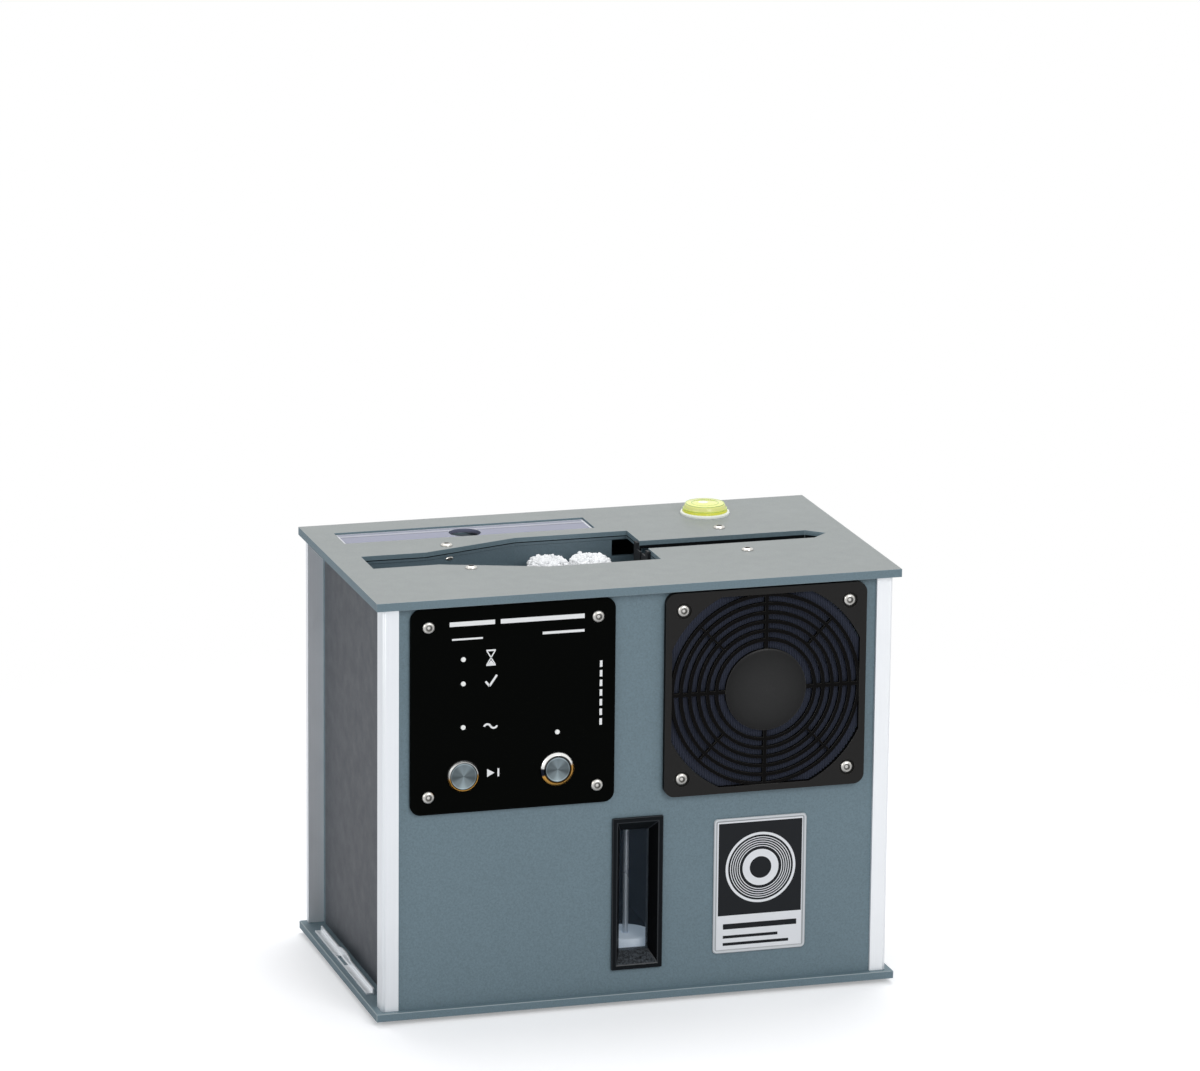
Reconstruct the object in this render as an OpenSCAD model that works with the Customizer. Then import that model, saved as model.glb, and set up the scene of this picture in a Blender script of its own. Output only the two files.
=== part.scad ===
// Vertical record cleaning machine. A 12 inch record stands in the long slot of the top plate, its lower
// part in a narrow wash tub, and fleece rollers scrub both sides before two fans dry it.
// Millimetres. X runs along the slot, Y to the back, Z up, with the origin under the middle of the feet.

/* [Cabinet] */
// Width of the top and base plates
plate_w = 328; // [326:1:360]
// Depth of the top and base plates
plate_d = 192; // [190:1:230]
// Thickness of the top and base plates
plate_t = 5; // [4:0.5:8]
// Height of the panels between the two plates
panel_h = 250; // [248:1:290]
// Thickness of the front, rear and side panels
panel_t = 4; // [3:0.5:5]
// Set-back of the front and rear panels from the plate edges
face_inset = 5.5; // [5:0.5:8]
// Set-back of the side panels from the plate edges
side_inset = 14.5; // [14:0.5:18]
// Radius of a rubber foot
foot_r = 9; // [6:0.5:14]
// Height of a rubber foot
foot_h = 3; // [2:0.5:6]
// Distance of a foot's centre from the plate's edges
foot_inset = 20; // [16:1:40]

/* [Corner profiles] */
// Width of a corner profile, seen from the front
profile_w = 10.2; // [8:0.1:12]
// Depth of a front corner profile, front to back
profile_d = 12; // [10:0.5:14]
// Depth of a rear corner profile, front to back
rear_profile_d = 6; // [5:0.5:8]
// How far a rear profile laps the edge of the rear panel
profile_lap = 0.7; // [0.5:0.1:2]
// Wall of a corner profile
profile_wall = 1.5; // [1:0.25:2]
// Radius of a profile's outer edge
profile_edge = 2; // [1:0.25:2.25]
// How far the front profiles stand in front of the panel
profile_proud = 2; // [1:0.5:3]

/* [Base rails] */
// Length of a rail on the ledge beside the cabinet
rail_l = 128; // [90:1:140]
// Width of a rail
rail_w = 5; // [4:0.5:6]
// Height of a rail's upright edge
rail_h = 4; // [3:0.5:8]
// Sheet thickness of a rail
rail_t = 1.2; // [1:0.1:1.5]
// Length of the slot in a rail
rail_slot_l = 20; // [10:1:30]
// Distance of a rail from the base plate's edge
rail_edge = 3.5; // [2:0.5:6]
// Middle of a rail, front to back
rail_y = 6; // [-6:1:12]

/* [Record] */
// Radius of the record
record_r = 150.8; // [150:0.1:151]
// Height of the record's centre above the top plate
record_rise = 52; // [51:0.5:54]

/* [Slot in the top plate] */
// Distance of the slot's left end from the plate's edge
arm_edge = 19; // [18:0.5:20]
// Half width of the left arm
arm_half = 15; // [13:0.5:17]
// Where the left arm starts to widen
flare_start = 104; // [100:1:108]
// Left end of the wide bay over the rollers
bay_left = 42; // [41:0.5:46]
// Right end of the wide bay in the plate
bay_right = 30; // [29:0.5:32]
// Half width of the wide bay
bay_half = 36; // [34:0.5:38]
// Half width of the right slot
slot_half = 9.4; // [8:0.2:11]
// Length of the taper at the right slot's tip
tip_l = 10.5; // [8.5:0.5:13.5]
// Distance of the right slot's tip from the plate's edge
tip_edge = 16.5; // [16:0.5:18]

/* [Wash tub] */
// Overhang of the top plate over the tub's inner faces
tub_shade = 0.6; // [0.3:0.1:1]
// Wall of the tub
tub_t = 3; // [2:0.5:3]
// Gap between the tub's ends and the side panels
tub_gap = 0.5; // [0.5:0.5:2]
// Gap between the record's rim and the tub's floor
rim_gap = 11.2; // [10:0.2:13]
// Right end of the wide part of the tub
tub_bay_right = 44; // [42:0.5:46]
// Distance of a fixing screw from the middle, along the slot
fix_x = 87.5; // [84:0.5:92]
// Distance of a fixing screw from the middle, across the slot
fix_y = 28.4; // [27:0.2:30]
// Shank radius of a fixing screw
fix_r = 2; // [1.5:0.25:2.5]
// Head radius of a fixing screw
fix_head_r = 3.8; // [3:0.2:4.4]

/* [Rollers] */
// Outer radius of a fleece sleeve
sleeve_r = 12.9; // [12:0.1:13]
// Height of a fleece sleeve
sleeve_h = 82; // [60:1:84]
// Depth of the sleeve tops under the top plate's upper face
sleeve_drop = 9; // [7:0.5:14]
// Distance between neighbouring rollers along the slot
roller_pitch = 26.5; // [26.5:0.1:27]
// Middle of the four rollers along the slot
roller_mid = -13.75; // [-15:0.25:-12]
// Radius of a roller's plastic core
core_r = 6.8; // [5:0.2:8]
// Radius of a roller's spindle
spindle_r = 3; // [2:0.25:3.5]
// Gap between the fleece of opposite rollers, where the record passes
record_gap = 2.2; // [2:0.1:3]

/* [Roller gears] */
// Teeth of a roller gear
gear_teeth = 28; // [28]
// Teeth of the motor pinion
pinion_teeth = 14; // [12:1:16]
// Width of a gear's teeth
gear_w = 4.5; // [3:0.25:5]
// Pressure angle of the teeth
pressure_angle = 25; // [22:0.5:27]
// Play between two meshing teeth
backlash = 0.3; // [0.2:0.05:0.4]
// Radius of the gear motor
motor_r = 17; // [14:0.5:18]
// Height of the gear motor
motor_h = 12.5; // [10:0.5:14]

/* [Filler lid] */
// Length of the clear lid
lid_l = 159; // [140:1:160]
// Width of the clear lid
lid_w = 26.2; // [24:0.2:28]
// Thickness of the clear lid
lid_t = 2.6; // [2:0.2:2.8]
// Depth of the lid's upper face under the top plate's
lid_drop = 1.2; // [0.2:0.1:1.3]
// Distance of the lid's left end from the plate's edge
lid_edge = 17.7; // [17.5:0.1:20]
// Middle of the lid behind the slot
lid_y = 61.5; // [60:0.5:64]
// Radius of the finger hole in the lid
finger_r = 10; // [8:0.5:11]
// Width of the ledge that the lid lies on
lid_ledge = 3; // [2:0.5:4]
// Width of the ledge under the lid's left end
lid_end_ledge = 10; // [10:0.5:14]
// Length of the filling hole under the lid
fill_l = 110; // [80:1:115]

/* [Spirit level] */
// Radius of the level's foot
level_r = 15.5; // [12:0.5:18]
// Height of the level above the top plate
level_h = 8; // [5:0.5:10]
// Distance of the level from the plate's right edge
level_edge = 74; // [54:1:84]
// Place of the level behind the slot
level_y = 66; // [60:1:72]

/* [Front fittings] */
// Share of the front's free width that lies between the control panel and the fan guard
unit_share = 0.6889; // [0.6:0.0001:0.7]
// Depth of their centres under the top plate
unit_drop = 65; // [64:0.5:68]
// Side of the control panel and of the fan guard
unit_side = 127; // [124:1:128]
// Corner radius of the control panel and of the fan guard
unit_round = 6.5; // [4:0.5:8]
// Distance between their screws
screw_pitch = 105; // [105:0.5:106]
// Thickness of the control panel
control_t = 2; // [1.5:0.25:2.5]
// Radius of the start button's bezel
start_bezel_r = 9.75; // [9:0.25:11]
// Radius of the start button's cap
start_cap_r = 8.2; // [7:0.1:8.4]
// Radius of the power button's bezel
power_bezel_r = 10.5; // [9:0.25:11]
// Radius of the power button's cap
power_cap_r = 7.7; // [7:0.1:8.4]
// Travel of a button
button_travel = 1.5; // [1:0.25:2]
// Radius of an indicator lamp
led_r = 1.5; // [1:0.25:2.5]

/* [Fans] */
// Thickness of the fan guard
guard_t = 4; // [3:0.25:4.5]
// Half width of the guard's opening
guard_open = 59.5; // [59.5:0.5:60]
// Radius of the opening's corners
guard_open_r = 66; // [65:0.5:67]
// Radius of the disc in the middle of the guard
guard_hub_r = 25.5; // [20:0.5:28]
// Distance between two rings of the guard
ring_pitch = 5.6; // [5:0.1:6]
// Width of a ring
ring_w = 2; // [1:0.1:2.4]
// Depth of the rings, front to back
ring_t = 2.2; // [1.5:0.1:2.4]
// Thickness of the filter mat
mat_t = 1.5; // [1:0.1:1.5]
// Rings of the guard
ring_count = 6; // [3:1:6]
// Side of a fan's frame
fan_side = 120; // [120]
// Depth of a fan's frame
fan_depth = 25; // [20:1:26]
// Radius of a fan's bore
fan_bore_r = 57.5; // [56:0.5:58]
// Radius of an impeller's hub
fan_hub_r = 20; // [18:0.5:24]
// Blades of an impeller
blade_count = 7; // [5:1:9]
// Gap between the blade tips and the bore
blade_gap = 1.5; // [1:0.25:3]
// Radius of a fan's shaft
fan_shaft_r = 1.5; // [1:0.25:2.5]

/* [Sight window] */
// Width of the window's bezel
window_w = 32; // [30:1:34]
// Height of the window's bezel
window_h = 96; // [90:1:98]
// Height of the window's middle above the base plate
window_rise = 62; // [60:0.5:64]
// Width of the glass in sight
glass_w = 18; // [16:0.5:19]
// Height of the glass in sight
glass_h = 76; // [70:1:78]
// Thickness of the glass
glass_t = 2.4; // [2:0.2:3]

/* [Blank plate] */
// Width of the blank plate
badge_w = 59; // [40:1:70]
// Height of the blank plate
badge_h = 85.5; // [50:0.5:88]
// Thickness of the blank plate
badge_t = 0.6; // [0.4:0.1:1]
// Distance of the blank plate from the right profile
badge_edge = 42; // [30:1:60]
// Height of the plate's middle above the base plate
badge_rise = 61.6; // [50:0.2:66]

/* [Reservoir] */
// Gap between the reservoir and the left side panel
tank_side = 4.5; // [3:0.5:8]
// Right end of the reservoir, from the middle
tank_right = 45; // [42:0.5:46]
// Wall of the reservoir
tank_t = 4; // [3:0.5:4]
// Gap between the reservoir and the front and rear panels
tank_gap = 2.5; // [2:0.25:4]
// Radius of the float
float_r = 16; // [12:0.5:17]
// Height of the float
float_h = 15; // [10:0.5:18]
// Radius of the float's guide rod
rod_r = 1.8; // [1.5:0.1:2.4]
// Travel of the float
float_travel = 66; // [50:1:68]

/* [Hidden] */
$fn = 64;
// Clearance of a part that drops into another
fit = 0.3;
// Clearance of a shaft in its bore
run = 0.05;
// Overlap of a cutter past the face that it cuts
cut = 1;

// Levels of the cabinet
base_top = foot_h + plate_t;
deck = base_top + panel_h;
top_z = deck + plate_t;
face_y = plate_d/2 - face_inset;
back_y = face_y - panel_t;
side_x = plate_w/2 - side_inset;
inner_x = side_x - panel_t;
unit_x = unit_side/2 + unit_share*(side_x - unit_side);
unit_z = deck - unit_drop;

// Places along the slot and the wash tub
arm_end = plate_w/2 - arm_edge;
slot_tip = plate_w/2 - tip_edge;
slot_end = slot_tip - tip_l;
tub_end = inner_x - tub_gap - tub_t;
lid_x = -plate_w/2 + lid_edge + lid_l/2;
level_x = plate_w/2 - level_edge;
badge_x = side_x - badge_edge - badge_w/2;
tank_left = inner_x - tank_side;

// Levels of the tub
record_z = top_z + record_rise;
floor_r = record_r + rim_gap;
floor_in_z = record_z - floor_r;
floor_out_z = floor_in_z - tub_t - 1;
boss_bottom = floor_out_z - 2;

// Levels and places of the roller drive
roller_y = sleeve_r + record_gap/2;
gear_r = roller_y;
gear_module = 2*gear_r/gear_teeth;
pinion_r = gear_module*pinion_teeth/2;
pinion_reach = sqrt(pow(gear_r + pinion_r, 2) - pow(roller_pitch/2, 2));
pinion_y = -roller_y - pinion_reach;
gear_gap = 0.5;
upper_gear_z = boss_bottom - gear_gap - gear_w;
lower_gear_z = upper_gear_z - gear_gap - gear_w;
gear_plate_t = 3;
gear_plate_z = lower_gear_z - 2 - gear_plate_t;
motor_z = gear_plate_z - motor_h;
sleeve_top = top_z - sleeve_drop;
sleeve_bottom = sleeve_top - sleeve_h;
sleeve_cap = 5;

// Levels of the reservoir
cover_t = 4;
cover_top = motor_z - fit;
tank_top = cover_top - cover_t;
tank_y = back_y - tank_gap;
window_z = base_top + window_rise;
rod_x = 2;
rod_y = -tank_y + 23;
float_z = base_top + tank_t + 9;

// Guide wheels under the record's rim
wheel_r = 5;
wheel_groove = 1;
wheel_angle = 24;
wheel_orbit = record_r + wheel_r - wheel_groove;
wheel_x = wheel_orbit*sin(wheel_angle);
wheel_z = record_z - wheel_orbit*cos(wheel_angle);
axle_r = 1.5;
axle_in = 1.6;

// A rectangle with round corners, centred
module round_rect(w, h, r) {
    square([w - 2*r, h], center = true);
    square([w, h - 2*r], center = true);
    for (sx = [-1, 1])
        for (sy = [-1, 1])
            translate([sx*(w/2 - r), sy*(h/2 - r)])
                circle(r);
}

// Puts a shape drawn upright on the front at x, z, its back at y and its thickness towards the viewer
module on_front(x, z, y) {
    translate([x, y, z])
        rotate([90, 0, 0])
            children();
}

// The four corners of a square pattern
module corners(pitch) {
    for (sx = [-1, 1])
        for (sz = [-1, 1])
            translate([sx*pitch/2, sz*pitch/2])
                children();
}

// Half widths of the tub inside
tub_arm = arm_half + tub_shade;
tub_bay = bay_half + tub_shade;
tub_slot = slot_half + tub_shade;

// One half of the tub's inner outline, y positive, grown by g
function tub_half(g) = [
    [-tub_end - g, 0],
    [-tub_end - g, tub_arm + g],
    [-flare_start, tub_arm + g],
    [-bay_left, tub_bay + g],
    [tub_bay_right + g, tub_bay + g],
    [tub_bay_right + g, tub_slot + g],
    [tub_end + g, tub_slot + g],
    [tub_end + g, 0]
];

// Half of the slot that is cut in the top plate, y positive
function slot_outline() = [
    [-arm_end, 0],
    [-arm_end, arm_half],
    [-flare_start, arm_half],
    [-bay_left, bay_half],
    [bay_right, bay_half],
    [bay_right, slot_half],
    [slot_end, slot_half],
    [slot_tip, 0]
];

function flip(points) = [for (p = points) [p[0], -p[1]]];

module base_plate() {
    color("slategray")
        translate([-plate_w/2, -plate_d/2, foot_h])
            cube([plate_w, plate_d, plate_t]);
}

module rubber_feet() {
    color("#202020")
        for (sx = [-1, 1])
            for (sy = [-1, 1])
                translate([sx*(plate_w/2 - foot_inset), sy*(plate_d/2 - foot_inset), 0])
                    cylinder(r = foot_r, h = foot_h);
}

// Angle strip on the base's ledge, with a slot in its foot and a rounded tab on its upright edge
module base_rail() {
    rail_x = plate_w/2 - rail_edge - rail_w;
    tab_l = 50;
    tab_h = rail_h + 2;
    difference() {
        union() {
            translate([rail_x, rail_y - rail_l/2, base_top])
                cube([rail_w, rail_l, rail_t]);
            translate([rail_x, rail_y - rail_l/2, base_top])
                cube([rail_t, rail_l, rail_h]);
            translate([rail_x, rail_y + 6, base_top])
                rotate([0, 90, 0])
                    intersection() {
                        translate([tab_l*tab_l/(8*tab_h) - tab_h/2, 0, 0])
                            cylinder(r = tab_l*tab_l/(8*tab_h) + tab_h/2, h = rail_t, $fn = 180);
                        translate([-tab_h, -tab_l/2, 0])
                            cube([tab_h, tab_l, rail_t]);
                    }
        }
        translate([rail_x + rail_t + 0.6, rail_y + 2 - rail_slot_l/2, base_top - cut])
            cube([rail_w - rail_t - 1.4, rail_slot_l, rail_t + 2*cut]);
    }
}

module base_rails() {
    color("silver") {
        base_rail();
        mirror([1, 0, 0])
            base_rail();
    }
}

// Panel sheet with the round hole for a fan
module faced_panel() {
    difference() {
        translate([-side_x, -face_y, base_top])
            cube([2*side_x, panel_t, panel_h]);
        on_front(unit_x, unit_z, -back_y + cut)
            cylinder(r = fan_bore_r + 0.5, h = panel_t + 2*cut, $fn = 96);
        on_front(unit_x, unit_z, -back_y + cut)
            corners(screw_pitch)
                cylinder(r = screw_r, h = panel_t + 2*cut, $fn = 24);
    }
}

screw_r = 1.6;
control_cut = 100;
window_body_w = window_w - 4;
window_body_h = window_h - 4;

module front_panel() {
    color("slategray")
        difference() {
            faced_panel();
            on_front(-unit_x, unit_z, -back_y + cut)
                linear_extrude(panel_t + 2*cut)
                    square(control_cut, center = true);
            on_front(-unit_x, unit_z, -back_y + cut)
                corners(screw_pitch)
                    cylinder(r = screw_r, h = panel_t + 2*cut, $fn = 24);
            on_front(0, window_z, -back_y + cut)
                linear_extrude(panel_t + 2*cut)
                    square([window_body_w + 2*fit, window_body_h + 2*fit], center = true);
        }
}

inlet_edge = 54.5;
inlet_rise = 52;
inlet_x = side_x - inlet_edge;
inlet_z = base_top + inlet_rise;
inlet_w = 28;
inlet_h = 20;
drain_edge = 81;
drain_r = 6;
drain_rise = drain_r + 10;
drain_x = -tank_left + drain_edge;
drain_z = base_top + drain_rise;
drain_head_r = 10;

module rear_panel() {
    color("slategray")
        difference() {
            mirror([0, 1, 0])
                faced_panel();
            translate([inlet_x - inlet_w/2, back_y - cut, inlet_z - inlet_h/2])
                cube([inlet_w, panel_t + 2*cut, inlet_h]);
            translate([drain_x, face_y + cut, drain_z])
                rotate([90, 0, 0])
                    cylinder(r = drain_head_r + 1, h = panel_t + 2*cut);
        }
}

module side_panel() {
    translate([inner_x, -back_y, base_top])
        cube([panel_t, 2*back_y, panel_h]);
}

module right_side_panel() {
    color("#4d5055")
        side_panel();
}

module left_side_panel() {
    color("#4d5055")
        mirror([1, 0, 0])
            side_panel();
}

// Hollow aluminium post of depth d beside a panel edge, from plate to plate, its outer side at y
module corner_profile(d, y) {
    color("#e6eaf0")
        translate([side_x, y - d, base_top])
            difference() {
                linear_extrude(panel_h) {
                    square([profile_w - profile_edge, d]);
                    square([profile_w, d - profile_edge]);
                    translate([profile_w - profile_edge, d - profile_edge])
                        circle(profile_edge);
                }
                translate([profile_wall, profile_wall, -cut])
                    cube([profile_w - 2*profile_wall, d - 2*profile_wall, panel_h + 2*cut]);
            }
}

module rear_right_profile() {
    corner_profile(rear_profile_d, face_y - profile_lap + rear_profile_d);
}

module rear_left_profile() {
    mirror([1, 0, 0])
        rear_right_profile();
}

module front_right_profile() {
    mirror([0, 1, 0])
        corner_profile(profile_d, face_y + profile_proud);
}

module front_left_profile() {
    mirror([1, 0, 0])
        front_right_profile();
}

// Recess for the lid, the hole under it, and the seat of the level
lid_recess = lid_t + lid_drop;
level_seat = 1;

module top_plate() {
    color("#a9acaa")
        difference() {
            translate([-plate_w/2, -plate_d/2, deck])
                cube([plate_w, plate_d, plate_t]);
            translate([0, 0, deck - cut])
                linear_extrude(plate_t + 2*cut) {
                    polygon(slot_outline());
                    polygon(flip(slot_outline()));
                }
            translate([lid_x - lid_l/2 - fit, lid_y - lid_w/2 - fit, top_z - lid_recess])
                cube([lid_l + 2*fit, lid_w + 2*fit, lid_recess + cut]);
            translate([lid_x - lid_l/2 + lid_end_ledge, lid_y - lid_w/2 + lid_ledge, deck - cut])
                cube([fill_l, lid_w - 2*lid_ledge, plate_t + 2*cut]);
            translate([level_x, level_y, top_z - level_seat])
                cylinder(r = level_r + 0.1, h = level_seat + cut);
            for (sx = [-1, 1])
                for (sy = [-1, 1])
                    translate([sx*fix_x, sy*fix_y, deck - cut])
                        cylinder(r = fix_r + 0.2, h = plate_t + 2*cut, $fn = 32);
        }
}

fix_l = 8;
fix_head_h = 1.8;

module top_screws() {
    color("silver")
        for (sx = [-1, 1])
            for (sy = [-1, 1])
                translate([sx*fix_x, sy*fix_y, 0]) {
                    translate([0, 0, deck - fix_l])
                        cylinder(r = fix_r, h = fix_l + plate_t, $fn = 32);
                    translate([0, 0, top_z])
                        difference() {
                            pan_head(fix_head_r, fix_head_h);
                            translate([0, 0, fix_head_h/2])
                                cylinder(r = fix_head_r*0.42, h = fix_head_h, $fn = 6);
                        }
                }
}

// Low domed head of radius r and height h
module pan_head(r, h) {
    dome = (r*r + h*h)/(2*h);
    intersection() {
        cylinder(r = r, h = h, $fn = 32);
        translate([0, 0, h - dome])
            sphere(r = dome, $fn = 64);
    }
}

module filler_lid() {
    color("#c9cce0", 0.5)
        translate([lid_x, lid_y, top_z - lid_recess])
            difference() {
                translate([-lid_l/2, -lid_w/2, 0])
                    cube([lid_l, lid_w, lid_t]);
                translate([0, 0, -cut])
                    cylinder(r = finger_r, h = lid_t + 2*cut);
            }
}

module spirit_level() {
    wall = 1.2;
    waist = level_r - 2.5;
    crown = level_r - 3.5;
    flange = 1.6;
    color("#dfff3c", 0.6)
        translate([level_x, level_y, top_z - level_seat])
            difference() {
                union() {
                    cylinder(r = level_r, h = level_seat + flange);
                    cylinder(r1 = waist, r2 = crown, h = level_seat + level_h);
                }
                translate([0, 0, level_seat])
                    cylinder(r = crown - wall, h = level_h - wall - 0.6);
            }
}

module control_panel() {
    color("#050706")
        on_front(-unit_x, unit_z, -face_y)
            difference() {
                linear_extrude(control_t)
                    round_rect(unit_side, unit_side, unit_round);
                translate([0, 0, -cut]) {
                    corners(screw_pitch)
                        cylinder(r = screw_r, h = control_t + 2*cut, $fn = 24);
                    for (b = [start_at, power_at])
                        translate(b)
                            cylinder(r = barrel_r + 0.1, h = control_t + 2*cut);
                    for (p = lamp_at)
                        translate(p)
                            cylinder(r = led_r + 0.05, h = control_t + 2*cut, $fn = 24);
                }
            }
}

// Places on the control panel, from its middle
start_at = [-31, -40.5];
power_at = [27.5, -40.5];
lamp_at = [[-31, 31.5], [-31, 16.5], [-31, -10.5], [27.5, -17.5]];
barrel_r = 8.5;
barrel_l = 12;
stem_r = 4;
bezel_h = 2.4;
cap_h = 1.6;

// Domed socket head and shank, its shank through the sheet behind it
module socket_screw(head_r, head_h, shank_l) {
    translate([0, 0, -shank_l])
        cylinder(r = screw_r - 0.1, h = shank_l, $fn = 24);
    difference() {
        pan_head(head_r, head_h);
        translate([0, 0, head_h/2])
            cylinder(r = head_r*0.45, h = head_h, $fn = 6);
    }
}

// Bezel ring with the barrel behind the panel, bored for a button's cap and stem
module button_bezel(bezel_r, cap_r) {
    well = bezel_h + 1;
    difference() {
        union() {
            translate([0, 0, control_t])
                cylinder(r = bezel_r, h = bezel_h);
            translate([0, 0, control_t - barrel_l])
                cylinder(r = barrel_r, h = barrel_l);
        }
        translate([0, 0, control_t + bezel_h - well])
            cylinder(r = cap_r + 0.25, h = well + cut);
        translate([0, 0, control_t - barrel_l - cut])
            cylinder(r = stem_r + run, h = barrel_l + bezel_h + 2*cut);
    }
}

module button_bezels() {
    color("#d8d4c8")
        on_front(-unit_x, unit_z, -face_y) {
            translate(start_at)
                button_bezel(start_bezel_r, start_cap_r);
            translate(power_at)
                button_bezel(power_bezel_r, power_cap_r);
        }
}

// Cap and stem, at rest with the cap just under the bezel's rim
module button_cap(cap_r) {
    cap_z = control_t + bezel_h - cap_h - 0.2;
    translate([0, 0, cap_z])
        cylinder(r = cap_r, h = cap_h);
    translate([0, 0, cap_z - 7])
        cylinder(r = stem_r, h = 7);
}

module start_button() {
    color("#c8c8c8")
        on_front(-unit_x, unit_z, -face_y)
            translate(start_at)
                button_cap(start_cap_r);
}

module power_button() {
    color("#c8c8c8")
        on_front(-unit_x, unit_z, -face_y)
            translate(power_at)
                button_cap(power_cap_r);
}

module indicator_lamps() {
    lamp_l = 5;
    color("white")
        on_front(-unit_x, unit_z, -face_y)
            for (p = lamp_at)
                translate([p[0], p[1], control_t + 0.4 - lamp_l])
                    cylinder(r = led_r, h = lamp_l, $fn = 24);
}

board_side = 90;
board_t = 1.6;
board_hole = 5;
spacer_drop = 65;
spacer_r = 3;
chip_w = 18;
chip_l = 22;
chip_h = 4;
chip_pitch = 27;

// Board on four spacers behind the control panel
module circuit_board() {
    side = board_side/2 - board_hole;
    low = board_side/2 - spacer_drop;
    spacers = [[-side, side], [side, side], [-side, low], [side, low]];
    board_back = barrel_l + board_t + 1.4;
    color("darkgreen")
        on_front(-unit_x, unit_z, -face_y) {
            translate([0, 0, -board_back])
                linear_extrude(board_t)
                    square(board_side, center = true);
            for (p = spacers)
                translate([p[0], p[1], -board_back])
                    cylinder(r = spacer_r, h = board_back, $fn = 24);
            for (k = [-1 : 1])
                translate([k*chip_pitch, board_side/5, -board_back - chip_h])
                    linear_extrude(chip_h)
                        square([chip_w, chip_l], center = true);
        }
}

// Opening of the guard, smaller by g on all sides
module guard_opening(g) {
    intersection() {
        circle(guard_open_r - g, $fn = 128);
        square(2*(guard_open - g), center = true);
    }
}

// Moulded grille: frame, disc, rings and spokes in one piece
module fan_guard() {
    spoke_w = 2.2;
    rib_w = 1.2;
    recess_r = 5;
    ring_z = guard_t - 0.2 - ring_t;
    difference() {
        linear_extrude(guard_t)
            difference() {
                round_rect(unit_side, unit_side, unit_round);
                guard_opening(0);
            }
        translate([0, 0, -cut])
            corners(screw_pitch)
                cylinder(r = screw_r, h = guard_t + 2*cut, $fn = 24);
        translate([0, 0, guard_t - 1.2])
            corners(screw_pitch)
                cylinder(r = recess_r, h = 1.2 + cut, $fn = 48);
    }
    translate([0, 0, ring_z])
        cylinder(r = guard_hub_r, h = ring_t + 0.1, $fn = 96);
    translate([0, 0, ring_z])
        linear_extrude(ring_t)
            intersection() {
                union() {
                    for (i = [1 : ring_count])
                        difference() {
                            circle(guard_hub_r + i*ring_pitch + ring_w/2, $fn = 128);
                            circle(guard_hub_r + i*ring_pitch - ring_w/2, $fn = 128);
                        }
                    for (a = [0, 90])
                        rotate(a)
                            square([2*guard_open + 2, spoke_w], center = true);
                    for (a = [45 : 90 : 315])
                        rotate(a)
                            translate([guard_hub_r + 2*ring_pitch, -rib_w/2])
                                square([4*ring_pitch, rib_w]);
                }
                square(2*guard_open + 1, center = true);
            }
}

module front_fan_guard() {
    color("#1c1b1a")
        on_front(unit_x, unit_z, -face_y)
            fan_guard();
}

module rear_fan_guard() {
    color("#1c1b1a")
        mirror([0, 1, 0])
            on_front(unit_x, unit_z, -face_y)
                fan_guard();
}

module front_filter_mat() {
    color("#2a2d39")
        on_front(unit_x, unit_z, -face_y)
            linear_extrude(mat_t)
                guard_opening(fit);
}

// The screws of the control panel and of both fan guards
module panel_screws() {
    head_r = 3.9;
    head_h = 2;
    seat = guard_t - 1.2;
    color("silver") {
        on_front(-unit_x, unit_z, -face_y - control_t)
            corners(screw_pitch)
                socket_screw(head_r, head_h, control_t + panel_t);
        for (s = [0, 1])
            mirror([0, s, 0])
                on_front(unit_x, unit_z, -face_y - seat)
                    corners(screw_pitch)
                        socket_screw(head_r, head_h, seat + panel_t + 6);
    }
}

// Square frame with a round bore, four struts and the motor's disc and shaft behind the impeller
module fan_frame() {
    stator_t = 3;
    strut_w = 4;
    difference() {
        linear_extrude(fan_depth)
            difference() {
                round_rect(fan_side, fan_side, 4);
                circle(fan_bore_r, $fn = 96);
            }
        translate([0, 0, -cut])
            corners(screw_pitch)
                cylinder(r = 2.15, h = fan_depth + 2*cut, $fn = 24);
    }
    cylinder(r = fan_hub_r, h = stator_t);
    cylinder(r = fan_shaft_r, h = fan_depth - 8, $fn = 32);
    for (a = [45 : 90 : 315])
        rotate([0, 0, a])
            translate([fan_hub_r - 1, -strut_w/2, 0])
                cube([fan_bore_r - fan_hub_r + 2, strut_w, stator_t]);
}

// Impeller blade as a thin lofted sheet: rows run out along the radius, columns along the chord
blade_rows = 4;
blade_cols = 4;
blade_t = 1.2;

function blade_point(i, j, side) =
    let (
        r = fan_hub_r - 1 + (fan_bore_r - blade_gap - fan_hub_r + 1)*i/blade_rows,
        span = 40 - 14*i/blade_rows,
        s = j/blade_cols,
        a = span*(s - 0.5) + 8*i/blade_rows,
        camber = 1.6*sin(180*s),
        z = (fan_depth - 11)*(s - 0.5) + camber + side*blade_t/2
    )
    [r*cos(a), r*sin(a), z];

function blade_at(i, j, layer) = layer*(blade_rows + 1)*(blade_cols + 1) + i*(blade_cols + 1) + j;

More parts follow.
